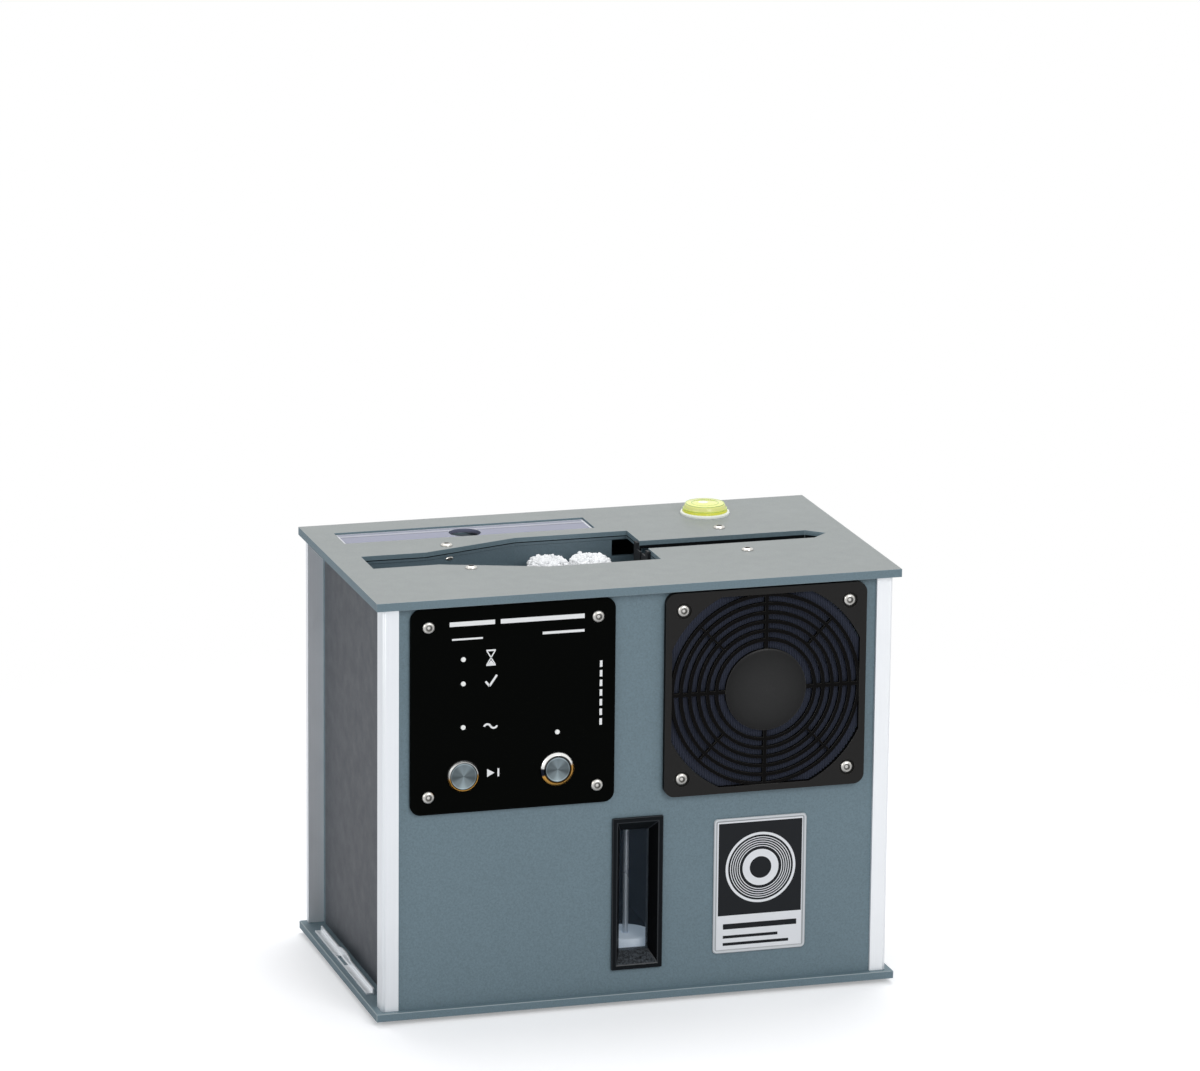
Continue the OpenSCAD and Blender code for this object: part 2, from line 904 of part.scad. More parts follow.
module fan_blade() {
    points = [
        for (side = [-1, 1])
            for (i = [0 : blade_rows])
                for (j = [0 : blade_cols])
                    blade_point(i, j, side)
    ];
    sheets = [
        for (i = [0 : blade_rows - 1])
            for (j = [0 : blade_cols - 1])
                for (layer = [0, 1])
                    for (half = [0, 1])
                        let (
                            p = blade_at(i, j, layer),
                            q = blade_at(i + 1, j, layer),
                            r = blade_at(i + 1, j + 1, layer),
                            s = blade_at(i, j + 1, layer),
                            t = half == 0 ? [p, q, r] : [p, r, s]
                        )
                        layer == 0 ? t : [t[2], t[1], t[0]]
    ];
    rim = concat(
        [for (j = [0 : blade_cols]) blade_at(0, j, 0)],
        [for (i = [1 : blade_rows]) blade_at(i, blade_cols, 0)],
        [for (j = [blade_cols - 1 : -1 : 0]) blade_at(blade_rows, j, 0)],
        [for (i = [blade_rows - 1 : -1 : 1]) blade_at(i, 0, 0)]
    );
    layer_step = (blade_rows + 1)*(blade_cols + 1);
    edges = [
        for (k = [0 : len(rim) - 1])
            for (half = [0, 1])
                let (
                    a = rim[k],
                    b = rim[(k + 1) % len(rim)]
                )
                half == 0 ? [a, b, b + layer_step] : [a, b + layer_step, a + layer_step]
    ];
    polyhedron(points, concat(sheets, edges));
}

module fan_impeller() {
    hub_z = 4.5;
    hub_h = fan_depth - 7;
    difference() {
        union() {
            translate([0, 0, hub_z])
                cylinder(r = fan_hub_r, h = hub_h);
            for (k = [0 : blade_count - 1])
                rotate([0, 0, 360*k/blade_count])
                    translate([0, 0, hub_z + hub_h/2 - 0.8])
                        fan_blade();
        }
        translate([0, 0, hub_z - cut])
            cylinder(r = fan_shaft_r + run, h = fan_depth - 8 - hub_z + 1 + cut, $fn = 32);
    }
}

module front_fan_frame() {
    color("#222222")
        on_front(unit_x, unit_z, -back_y + fan_depth)
            fan_frame();
}

module front_fan_impeller() {
    color("#2c2c2c")
        on_front(unit_x, unit_z, -back_y + fan_depth)
            fan_impeller();
}

module rear_fan_frame() {
    color("#222222")
        mirror([0, 1, 0])
            on_front(unit_x, unit_z, -back_y + fan_depth)
                fan_frame();
}

module rear_fan_impeller() {
    color("#2c2c2c")
        mirror([0, 1, 0])
            on_front(unit_x, unit_z, -back_y + fan_depth)
                fan_impeller();
}

window_flange = 2;

// Rimmed frame whose inner walls slope in to the glass
module window_bezel() {
    mouth_w = window_w - 6;
    mouth_h = window_h - 6;
    depth = window_flange + face_y - tank_y;
    color("#1d2023")
        on_front(0, window_z, -tank_y)
            difference() {
                union() {
                    linear_extrude(depth - window_flange)
                        square([window_body_w, window_body_h], center = true);
                    translate([0, 0, depth - window_flange])
                        linear_extrude(window_flange)
                            square([window_w, window_h], center = true);
                }
                hull() {
                    translate([0, 0, -0.01])
                        linear_extrude(0.01)
                            square([glass_w, glass_h], center = true);
                    translate([0, 0, depth])
                        linear_extrude(0.01)
                            square([mouth_w, mouth_h], center = true);
                }
            }
}

pane_lap = 2.8;

module window_pane() {
    color("#9fb0bd", 0.5)
        on_front(0, window_z, -tank_y + glass_t)
            linear_extrude(glass_t)
                square([glass_w + 2*pane_lap, glass_h + 2*pane_lap], center = true);
}

// Thin blank plate at the lower right of the front panel
module name_plate() {
    color("#e8e9ea")
        on_front(badge_x, base_top + badge_rise, -face_y)
            linear_extrude(badge_t)
                round_rect(badge_w, badge_h, 2.5);
}

// Open-topped tank with the window's opening and rebate in its front wall
module reservoir() {
    color("#6f767c")
        difference() {
            translate([-tank_left, -tank_y, base_top])
                cube([tank_left + tank_right, 2*tank_y, tank_top - base_top]);
            translate([-tank_left + tank_t, -tank_y + tank_t, base_top + tank_t])
                cube([tank_left + tank_right - 2*tank_t, 2*(tank_y - tank_t), tank_top]);
            on_front(0, window_z, -tank_y + tank_t + cut)
                linear_extrude(tank_t + 2*cut)
                    square([glass_w, glass_h], center = true);
            on_front(0, window_z, -tank_y + glass_t)
                linear_extrude(glass_t + cut)
                    square([glass_w + 2*pane_lap + 0.2, glass_h + 2*pane_lap + 0.2], center = true);
            translate([drain_x, tank_y + cut, drain_z])
                rotate([90, 0, 0])
                    cylinder(r = drain_r, h = tank_t + 2*cut);
            translate([tank_right - tank_t - cut, pump_y, pump_z])
                rotate([0, 90, 0])
                    cylinder(r = hose_r + fit, h = tank_t + 2*cut);
        }
}

module reservoir_cover() {
    color("#7a8087")
        difference() {
            translate([-tank_left, -tank_y, tank_top])
                cube([tank_left + tank_right, 2*tank_y, cover_t]);
            translate([duct_left + duct_t, duct_front + duct_t, tank_top - cut])
                cube([duct_l - 2*duct_t, duct_w - 2*duct_t, cover_t + 2*cut]);
            translate([rod_x, rod_y, tank_top - cut])
                cylinder(r = rod_r + fit, h = cover_t - fit + cut, $fn = 32);
        }
}

// Guide rod of the float, with the collar that the float comes to rest on
module float_rod() {
    collar_r = 4;
    color("#dcdfe4")
        translate([rod_x, rod_y, base_top + tank_t]) {
            cylinder(r = rod_r, h = cover_top - fit - base_top - tank_t - 0.2, $fn = 32);
            cylinder(r = collar_r, h = float_z - base_top - tank_t, $fn = 32);
        }
}

module float() {
    color("white")
        translate([rod_x, rod_y, float_z])
            difference() {
                cylinder(r = float_r, h = float_h);
                translate([0, 0, -cut])
                    cylinder(r = rod_r + 0.2, h = float_h + 2*cut, $fn = 32);
            }
}

// Side wall of the tub: a bent sheet whose lower edge follows the curved floor, hung from the top plate
module tub_wall() {
    difference() {
        union() {
            intersection() {
                translate([0, 0, floor_out_z - cut])
                    linear_extrude(deck - floor_out_z + cut)
                        polygon(concat(
                            tub_half(tub_t),
                            [for (k = [len(tub_half(0)) - 1 : -1 : 0]) tub_half(0)[k]]
                        ));
                translate([0, tub_end, record_z])
                    rotate([90, 0, 0])
                        cylinder(r = floor_r + tub_t, h = 2*tub_end, $fn = 180);
            }
            for (sx = [-1, 1])
                hanger(sx*fix_x);
        }
        for (sx = [-1, 1]) {
            translate([sx*fix_x, fix_y, deck - fix_l - cut])
                cylinder(r = fix_r + run, h = fix_l + 2*cut, $fn = 32);
            translate([sx*wheel_x, tub_half_at(sx*wheel_x) + axle_in + fit, wheel_z])
                rotate([90, 0, 0])
                    cylinder(r = axle_r + run, h = tub_t + axle_in, $fn = 32);
        }
    }
}

// Lug between the tub's wall and a fixing screw
module hanger(x) {
    wall_y = tub_half_at(x);
    translate([x - 6, wall_y + tub_t - 1, deck - fix_l - 1])
        cube([12, fix_y + 6 - wall_y - tub_t + 1, fix_l + 1]);
}

port_left = 20.5;
port_w = 20;
port_h = 10.5;
port_drop = 0.5;

module tub_rear_wall() {
    color("#5d6a71")
        difference() {
            tub_wall();
            translate([port_left, tub_bay - cut, deck - port_drop - port_h])
                cube([port_w, tub_t + 2*cut, port_h]);
        }
}

module tub_front_wall() {
    color("#5d6a71")
        mirror([0, 1, 0])
            difference() {
                tub_wall();
                translate([port_left, tub_bay - cut, deck - port_drop - port_h])
                    cube([port_w, tub_t + 2*cut, port_h]);
                translate([hose_x, tub_slot - cut, hose_end_z])
                    rotate([-90, 0, 0])
                        cylinder(r = hose_r - hose_wall, h = tub_t + 2*cut, $fn = 32);
            }
}

// Curved floor between the walls, with a bush for each roller spindle and posts for the gear plate
module tub_floor() {
    bush_r = 6;
    bush_h = 10;
    post_r = 3;
    color("#5d6a71")
        difference() {
            union() {
                intersection() {
                    translate([0, 0, floor_out_z - cut])
                        linear_extrude(deck - floor_out_z)
                            polygon(concat(tub_half(0), [for (k = [6 : -1 : 1]) flip(tub_half(0))[k]]));
                    translate([0, tub_bay + cut, record_z])
                        rotate([90, 0, 0])
                            difference() {
                                cylinder(r = floor_r + tub_t, h = 2*(tub_bay + cut), $fn = 180);
                                translate([0, 0, -cut])
                                    cylinder(r = floor_r, h = 2*(tub_bay + 2*cut), $fn = 180);
                            }
                }
                for (p = roller_at)
                    translate([p[0], p[1], boss_bottom])
                        cylinder(r = bush_r, h = bush_h, $fn = 48);
                for (p = post_at)
                    translate([p[0], p[1], gear_plate_z + gear_plate_t])
                        cylinder(r = post_r, h = floor_mid(p[0]) - gear_plate_z - gear_plate_t, $fn = 32);
            }
            for (p = roller_at)
                translate([p[0], p[1], boss_bottom - cut])
                    cylinder(r = spindle_r + run, h = bush_h + 2*cut, $fn = 48);
        }
}

// Posts that carry the gear plate, and the height of the middle of the floor's sheet at x
post_gap = 4.75;
post_reach = roller_pitch/2 + gear_r + post_gap;
post_back = roller_y + gear_r + 2;
post_at = [[roller_mid - post_reach, 0], [roller_mid + post_reach, 0], [roller_mid, post_back]];
function floor_mid(x) = record_z - sqrt(pow(floor_r + tub_t/2, 2) - x*x);

// Roller places: front left, front right, rear left, rear right
roller_at = [
    [roller_mid - roller_pitch/2, -roller_y],
    [roller_mid + roller_pitch/2, -roller_y],
    [roller_mid - roller_pitch/2, roller_y],
    [roller_mid + roller_pitch/2, roller_y]
];

// Half the angle of a tooth at radius q, on a gear of n teeth
function inv(a) = tan(a)*180/PI - a;
function base_radius(n) = gear_module*n/2*cos(pressure_angle);
function half_tooth(n, q) =
    90/n - backlash/4/(gear_module*n/2)*180/PI + inv(pressure_angle)
    - inv(acos(min(1, base_radius(n)/q)));

addendum = 0.9*gear_module;
dedendum = 1.2*gear_module;

// Outline of a gear of n teeth, the middle of a tooth at angle 0
function gear_outline(n) =
    let (
        rp = gear_module*n/2,
        low = rp - dedendum,
        steps = [low, max(low, base_radius(n)) + 0.05, rp, rp + addendum]
    )
    [
        for (k = [0 : n - 1])
            for (j = [0 : 7])
                let (
                    q = j < 4 ? steps[j] : steps[7 - j],
                    side = j < 4 ? -1 : 1,
                    a = 360*k/n + side*half_tooth(n, q)
                )
                [q*cos(a), q*sin(a)]
    ];

// Turn of a gear of n2 teeth that meshes with one of n1 teeth turned by turn1, seen from it at angle way
function mesh_turn(n1, turn1, n2, way) = way + 180 + (180 - n1*(turn1 - way))/n2;

pinion_way = atan2(-pinion_reach, roller_pitch/2);
left_turn = 0;
left_rear_turn = mesh_turn(gear_teeth, left_turn, gear_teeth, 90);
pinion_turn = mesh_turn(gear_teeth, left_turn, pinion_teeth, pinion_way);
right_turn = mesh_turn(pinion_teeth, pinion_turn, gear_teeth, -pinion_way);
right_rear_turn = mesh_turn(gear_teeth, right_turn, gear_teeth, 90);

// Roller core, spindle and gear in one moulding
module roller(k, gear_z, turn) {
    collar = 1;
    spindle_end = gear_plate_z + 1;
    color("#d9d9d6")
        translate([roller_at[k][0], roller_at[k][1], 0]) {
            translate([0, 0, spindle_end])
                cylinder(r = spindle_r, h = sleeve_bottom - spindle_end, $fn = 48);
            translate([0, 0, gear_z])
                rotate([0, 0, turn])
                    linear_extrude(gear_w)
                        polygon(gear_outline(gear_teeth));
            translate([0, 0, sleeve_bottom - collar])
                cylinder(r = core_r + 3, h = collar, $fn = 48);
            translate([0, 0, sleeve_bottom])
                cylinder(r = core_r, h = sleeve_h - sleeve_cap - fit, $fn = 48);
        }
}

module front_left_roller() {
    roller(0, upper_gear_z, left_turn);
}

module front_right_roller() {
    roller(1, lower_gear_z, right_turn);
}

module rear_left_roller() {
    roller(2, upper_gear_z, left_rear_turn);
}

module rear_right_roller() {
    roller(3, lower_gear_z, right_rear_turn);
}

// Fleece sleeve, closed and rounded at the top
module sleeve(k) {
    edge = 4;
    color("white")
        translate([roller_at[k][0], roller_at[k][1], sleeve_bottom])
            difference() {
                union() {
                    cylinder(r = sleeve_r, h = sleeve_h - edge);
                    cylinder(r = sleeve_r - edge, h = sleeve_h);
                    translate([0, 0, sleeve_h - edge])
                        rotate_extrude()
                            translate([sleeve_r - edge, 0])
                                circle(edge);
                }
                translate([0, 0, -cut])
                    cylinder(r = core_r + 0.1, h = sleeve_h - sleeve_cap + cut, $fn = 48);
            }
}

module front_left_sleeve() {
    sleeve(0);
}

module front_right_sleeve() {
    sleeve(1);
}

module rear_left_sleeve() {
    sleeve(2);
}

module rear_right_sleeve() {
    sleeve(3);
}

motor_shaft_r = 2;
gear_plate_reach = 23;

module gearbox_plate() {
    plate_left = roller_mid - roller_pitch/2 - gear_plate_reach;
    plate_front = pinion_y - motor_r;
    gear_plate_w = roller_pitch + 2*gear_plate_reach;
    gear_plate_d = roller_y + gear_plate_reach - plate_front;
    color("#b9bdc0")
        difference() {
            translate([plate_left, plate_front, gear_plate_z])
                cube([gear_plate_w, gear_plate_d, gear_plate_t]);
            for (p = roller_at)
                translate([p[0], p[1], gear_plate_z + 1])
                    cylinder(r = spindle_r + run, h = gear_plate_t, $fn = 48);
            translate([roller_mid, pinion_y, gear_plate_z - cut])
                cylinder(r = motor_shaft_r + 1, h = gear_plate_t + 2*cut, $fn = 32);
        }
}

module roller_motor() {
    color("#8f9498")
        translate([roller_mid, pinion_y, motor_z])
            difference() {
                cylinder(r = motor_r, h = motor_h);
                translate([0, 0, 3])
                    cylinder(r = motor_shaft_r + run, h = motor_h, $fn = 32);
            }
}

// Long pinion that drives a front roller gear on each of its two levels, with the motor's shaft
module motor_pinion() {
    color("#c9a24a")
        translate([roller_mid, pinion_y, 0]) {
            translate([0, 0, motor_z + 3])
                cylinder(r = motor_shaft_r, h = lower_gear_z - motor_z - 3, $fn = 32);
            translate([0, 0, lower_gear_z])
                rotate([0, 0, pinion_turn])
                    linear_extrude(upper_gear_z + gear_w - lower_gear_z)
                        polygon(gear_outline(pinion_teeth));
        }
}

// Grooved wheel that carries the record's rim, on an axle across the tub
module rim_wheel(x, half) {
    wheel_w = 8;
    groove = 2.6;
    color("#c4c8cc")
        translate([x, 0, wheel_z])
            rotate([90, 0, 0]) {
                difference() {
                    translate([0, 0, -wheel_w/2])
                        cylinder(r = wheel_r, h = wheel_w, $fn = 48);
                    difference() {
                        translate([0, 0, -groove/2])
                            cylinder(r = wheel_r + 1, h = groove, $fn = 48);
                        translate([0, 0, -groove/2 - cut])
                            cylinder(r = wheel_r - wheel_groove, h = groove + 2*cut, $fn = 48);
                    }
                }
                translate([0, 0, -half - axle_in])
                    cylinder(r = axle_r, h = 2*(half + axle_in), $fn = 32);
            }
}

// Half width of the tub at x
function tub_half_at(x) =
    x > 0 ? tub_slot : tub_arm + (tub_bay - tub_arm)*(flare_start + x)/(flare_start - bay_left);

module left_rim_wheel() {
    rim_wheel(-wheel_x, tub_half_at(-wheel_x));
}

module right_rim_wheel() {
    rim_wheel(wheel_x, tub_half_at(wheel_x));
}

// Clip on the slot's shoulder with a soft lip that strips water from the record, one on each side
module wiper_lips() {
    lip_gap = 1.6;
    lip_h = 52;
    clip_t = 2;
    clip_w = 5;
    for (s = [0, 1])
        mirror([0, s, 0]) {
            color("#9a9da0")
                translate([bay_right - clip_t, slot_half, deck - lip_h])
                    cube([clip_t, clip_w, lip_h + plate_t - 1]);
            color("#5a4030")
                translate([bay_right - clip_t, lip_gap, deck - lip_h])
                    cube([1.4, slot_half - lip_gap, lip_h]);
        }
}

// Duct from the lid down to the reservoir
duct_t = 2.5;
duct_left = lid_x - lid_l/2 + lid_end_ledge - duct_t;
duct_l = fill_l + 2*duct_t;
duct_front = lid_y - lid_w/2 + lid_ledge - duct_t;
duct_w = lid_w - 2*lid_ledge + 2*duct_t;

module filler_duct() {
    color("#8b9198")
        difference() {
            translate([duct_left, duct_front, cover_top])
                cube([duct_l, duct_w, deck - cover_top]);
            translate([duct_left + duct_t, duct_front + duct_t, cover_top - cut])
                cube([duct_l - 2*duct_t, duct_w - 2*duct_t, deck - cover_top + 2*cut]);
        }
}

head_r = 12;
small_head_r = 9;
head_l = 22;
head_foot = 6;

// Sound heads bonded under the curved floor
module ultrasonic_transducers() {
    color("#c0c4c8")
        for (spec = [[-22, head_r], [33, small_head_r]])
            translate([0, 0, record_z])
                rotate([0, 180 - spec[0], 0])
                    translate([0, 0, floor_r + tub_t + run]) {
                        cylinder(r = spec[1], h = head_foot);
                        translate([0, 0, head_foot])
                            cylinder(r = 0.75*spec[1], h = head_l - head_foot);
                    }
}

hose_r = 5;
hose_wall = 1.5;
hose_gap = 6.5;
hose_bend = 20;
hose_drop = 30;
pump_l = 56;
pump_r = 18;
pump_lift = 3;
pump_gap = 8;
pump_foot = pump_l - 16;
outlet_l = 14;
pump_y = -back_y + fan_depth + hose_r + hose_gap;
pump_z = base_top + pump_r + pump_lift;
pump_left = tank_right + pump_gap;
hose_x = pump_left + pump_l/4 - 2;
hose_end_z = deck - hose_drop;

// Circulation pump on its foot, its inlet in the reservoir's wall and its outlet upright
module pump() {
    color("#2f3338") {
        translate([pump_left, pump_y, pump_z])
            rotate([0, 90, 0])
                cylinder(r = pump_r, h = pump_l);
        translate([tank_right - tank_t, pump_y, pump_z])
            rotate([0, 90, 0])
                cylinder(r = hose_r, h = pump_left - tank_right + tank_t);
        translate([hose_x, pump_y, pump_z])
            cylinder(r = hose_r - hose_wall - 0.1, h = pump_r + outlet_l);
        translate([pump_left + (pump_l - pump_foot)/2, pump_y - pump_r, base_top])
            cube([pump_foot, 2*pump_r, pump_z - base_top - pump_r/2]);
    }
}

// Hose from the pump up to the right arm of the tub
module fill_hose() {
    start_z = pump_z + pump_r + 2;
    straight = hose_end_z - hose_bend - start_z;
    reach = -tub_slot - tub_t - fit - pump_y - hose_bend;
    color("#d8d8d0")
        difference() {
            translate([hose_x, pump_y, start_z])
                hose_run(hose_r, straight, reach, 0);
            translate([hose_x, pump_y, start_z])
                hose_run(hose_r - hose_wall, straight, reach, cut);
        }
}

// Upright run, quarter bend and level run of a round section
module hose_run(r, straight, reach, over) {
    translate([0, 0, -over])
        cylinder(r = r, h = straight + over, $fn = 32);
    translate([0, hose_bend, straight])
        rotate([0, -90, 0])
            rotate([0, 0, 270])
                rotate_extrude(angle = 90, $fn = 64)
                    translate([hose_bend, 0])
                        circle(r, $fn = 32);
    translate([0, hose_bend, straight + hose_bend])
        rotate([-90, 0, 0])
            cylinder(r = r, h = reach + over, $fn = 32);
}

driver_gap = 10;
driver_side = 10.5;
driver_d = 72;
driver_h = 34;
driver_rear = 14;
fin_h = 8;
fin_t = 2;

// Finned power stage of the sound heads, on the base plate beside the reservoir
module ultrasonic_driver() {
    box = [inner_x - driver_side - tank_right - driver_gap, driver_d, driver_h];
    fins = 15;
    color("#7d8286")
        translate([tank_right + driver_gap, pump_y + pump_r + driver_rear, base_top]) {
            cube(box);
            for (k = [0 : fins - 1])
                translate([k*(box[0] - fin_t)/(fins - 1), 0, box[2] - 1])
                    cube([fin_t, box[1], fin_h + 1]);
        }
}

// Mains inlet with its flange outside the rear panel and three flat pins
module power_inlet() {
    flange_w = 50;
    flange_t = 2.5;
    body_l = 22;
    wall = 2.5;
    color("#17181a")
        translate([inlet_x, face_y, inlet_z]) {
            difference() {
                union() {
                    translate([-flange_w/2, 0, -inlet_h/2 - 2])
                        cube([flange_w, flange_t, inlet_h + 4]);
                    translate([-inlet_w/2 + fit, -body_l, -inlet_h/2 + fit])
                        cube([inlet_w - 2*fit, body_l, inlet_h - 2*fit]);
                }
                translate([-inlet_w/2 + wall, -body_l + 5, -inlet_h/2 + wall])
                    cube([inlet_w - 2*wall, body_l + flange_t, inlet_h - 2*wall]);
            }
            for (p = [[-7, -1.5], [7, -1.5], [0, 2.5]])
                translate([p[0] - 1, -body_l + 4, p[1] - 2])
                    cube([2, body_l - 6, 4]);
        }
}

// Screw-in plug of the reservoir's drain, its grip behind the rear panel's hole
module drain_plug() {
    grip_l = 9;
    color("#1f2224")
        translate([drain_x, tank_y - tank_t, drain_z])
            rotate([-90, 0, 0]) {
                cylinder(r = drain_r - 0.1, h = tank_t, $fn = 48);
                translate([0, 0, tank_t])
                    difference() {
                        cylinder(r = drain_head_r, h = grip_l);
                        for (k = [0 : 11])
                            rotate([0, 0, 30*k])
                                translate([drain_head_r + 0.6, 0, 1.5])
                                    cylinder(r = 1.5, h = grip_l, $fn = 24);
                    }
            }
}

base_plate();
rubber_feet();
base_rails();
front_panel();
rear_panel();
left_side_panel();
right_side_panel();
front_left_profile();
front_right_profile();
rear_left_profile();
rear_right_profile();
top_plate();
top_screws();
filler_lid();
spirit_level();
control_panel();
button_bezels();
start_button();
power_button();
indicator_lamps();
circuit_board();
front_fan_guard();
front_filter_mat();
front_fan_frame();
front_fan_impeller();
rear_fan_guard();
rear_fan_frame();
rear_fan_impeller();
panel_screws();
window_bezel();
window_pane();
name_plate();
reservoir();
reservoir_cover();
float_rod();
float();
tub_front_wall();
tub_rear_wall();
tub_floor();
gearbox_plate();
roller_motor();
motor_pinion();
front_left_roller();
front_right_roller();
rear_left_roller();
rear_right_roller();
front_left_sleeve();
front_right_sleeve();
rear_left_sleeve();
rear_right_sleeve();
left_rim_wheel();
right_rim_wheel();
wiper_lips();
filler_duct();
ultrasonic_transducers();
pump();
fill_hose();
ultrasonic_driver();
power_inlet();
drain_plug();
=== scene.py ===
import bmesh
import bpy
import math
from mathutils import Matrix, Vector, noise


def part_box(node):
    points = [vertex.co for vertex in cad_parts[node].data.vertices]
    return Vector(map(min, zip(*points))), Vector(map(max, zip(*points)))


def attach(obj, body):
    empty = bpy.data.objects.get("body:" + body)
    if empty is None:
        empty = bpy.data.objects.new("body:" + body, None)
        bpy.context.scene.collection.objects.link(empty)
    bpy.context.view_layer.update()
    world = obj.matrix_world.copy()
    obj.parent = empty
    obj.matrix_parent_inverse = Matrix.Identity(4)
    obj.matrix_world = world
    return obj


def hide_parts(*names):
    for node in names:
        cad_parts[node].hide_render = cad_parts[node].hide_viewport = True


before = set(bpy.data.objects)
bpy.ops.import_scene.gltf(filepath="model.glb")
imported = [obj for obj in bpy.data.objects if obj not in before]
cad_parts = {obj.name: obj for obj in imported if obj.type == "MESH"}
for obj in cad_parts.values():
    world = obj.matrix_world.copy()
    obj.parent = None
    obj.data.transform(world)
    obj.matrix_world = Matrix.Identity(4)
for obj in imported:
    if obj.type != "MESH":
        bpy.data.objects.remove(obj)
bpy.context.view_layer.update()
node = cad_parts

# Place of work: camera and studio.
# A long lens from the left front, a little above the top plate, as a shop photographs a machine
# that stands on a white sweep.
turn, lift, tilt = math.radians(-16.735), math.radians(14.302), math.radians(-0.5436)
back = Vector((math.sin(turn) * math.cos(lift), -math.cos(turn) * math.cos(lift), math.sin(lift)))
level = (-back).cross(Vector((0, 0, 1))).normalized()
down = (-back).cross(level)
right = math.cos(tilt) * level + math.sin(tilt) * down
under = -math.sin(tilt) * level + math.cos(tilt) * down
lens = bpy.data.cameras.new("camera")
lens.lens = 190.26
lens.sensor_width = 36
lens.clip_end = 100
camera = bpy.data.objects.new("camera", lens)
rows = Matrix((right, -under, back)).transposed().to_4x4()
rows.translation = Vector((-1.0794, -3.5962, 1.2279))
camera.matrix_world = rows
scene = bpy.context.scene
scene.collection.objects.link(camera)
scene.camera = camera
scene.view_settings.view_transform = "Standard"


def lamp(name, spot, aim, size, watts):
    light = bpy.data.lights.new(name, "AREA")
    light.shape = "DISK"
    light.size = size
    light.energy = watts
    holder = bpy.data.objects.new(name, light)
    holder.location = spot
    holder.rotation_euler = (Vector(aim) - Vector(spot)).to_track_quat("-Z", "Y").to_euler()
    scene.collection.objects.link(holder)


lamp("soft_box_front", (0.7, -2.6, 1.9), (0.05, 0, 0.13), 1.6, 34)
lamp("soft_box_left", (-2.4, -0.9, 1.3), (0, 0, 0.13), 1.4, 10)
lamp("soft_box_top", (0.2, 0.9, 2.4), (0, 0, 0.2), 1.8, 34)


def math_node(tree, kind, a, b):
    n = tree.nodes.new("ShaderNodeMath")
    n.operation = kind
    for k, v in enumerate((a, b)):
        if isinstance(v, (int, float)):
            n.inputs[k].default_value = v
        else:
            tree.links.new(v, n.inputs[k])
    return n.outputs[0]


world = bpy.data.worlds.new("studio")
scene.world = world
world.use_nodes = True
wn, wl = world.node_tree.nodes, world.node_tree.links
wn.clear()
path = wn.new("ShaderNodeLightPath")
seen = math_node(
    world.node_tree, "MAXIMUM", path.outputs["Is Camera Ray"], path.outputs["Is Transmission Ray"]
)
shiny = math_node(world.node_tree, "MAXIMUM", seen, path.outputs["Is Glossy Ray"])
ambient = wn.new("ShaderNodeBackground")
ambient.inputs["Color"].default_value = (0.93, 0.96, 1.0, 1)
ambient.inputs["Strength"].default_value = 0.42
white = wn.new("ShaderNodeBackground")
white.inputs["Color"].default_value = (1, 1, 1, 1)
white.inputs["Strength"].default_value = 1.0
both = wn.new("ShaderNodeMixShader")
wl.new(shiny, both.inputs[0])
wl.new(ambient.outputs[0], both.inputs[1])
wl.new(white.outputs[0], both.inputs[2])
wl.new(both.outputs[0], wn.new("ShaderNodeOutputWorld").inputs["Surface"])


def plain_mesh(name, verts, faces, smooth=False):
    mesh = bpy.data.meshes.new(name)
    mesh.from_pydata([tuple(v) for v in verts], [], [tuple(f) for f in faces])
    mesh.update()
    if smooth:
        mesh.polygons.foreach_set("use_smooth", [True] * len(mesh.polygons))
    piece = bpy.data.objects.new(name, mesh)
    scene.collection.objects.link(piece)
    return piece


reach = 9
corners = [(-reach, -reach, 0), (reach, -reach, 0), (reach, reach, 0), (-reach, reach, 0)]
floor = plain_mesh("floor", corners, [(0, 1, 2, 3)])
ground = bpy.data.materials.new("white_sweep")
ground.use_nodes = True
gn, gl = ground.node_tree.nodes, ground.node_tree.links
gn.clear()
matt = gn.new("ShaderNodeBsdfDiffuse")
matt.inputs["Color"].default_value = (0.86, 0.86, 0.87, 1)
glow = gn.new("ShaderNodeEmission")
path = gn.new("ShaderNodeLightPath")
seen = math_node(
    ground.node_tree, "MAXIMUM", path.outputs["Is Camera Ray"], path.outputs["Is Transmission Ray"]
)
gl.new(math_node(ground.node_tree, "MULTIPLY", seen, 0.34), glow.inputs["Strength"])
lit = gn.new("ShaderNodeAddShader")
gl.new(matt.outputs[0], lit.inputs[0])
gl.new(glow.outputs[0], lit.inputs[1])
away = gn.new("ShaderNodeVectorMath")
away.operation = "LENGTH"
gl.new(gn.new("ShaderNodeTexCoord").outputs["Object"], away.inputs[0])
fade = gn.new("ShaderNodeMapRange")
fade.interpolation_type = "SMOOTHSTEP"
fade.inputs["From Min"].default_value = 0.3
fade.inputs["From Max"].default_value = 0.75
gl.new(away.outputs["Value"], fade.inputs["Value"])
sweep = gn.new("ShaderNodeMixShader")
gl.new(math_node(ground.node_tree, "MULTIPLY", fade.outputs["Result"], seen), sweep.inputs[0])
gl.new(lit.outputs[0], sweep.inputs[1])
gl.new(gn.new("ShaderNodeBsdfTransparent").outputs[0], sweep.inputs[2])
gl.new(sweep.outputs[0], gn.new("ShaderNodeOutputMaterial").inputs["Surface"])
floor.data.materials.append(ground)


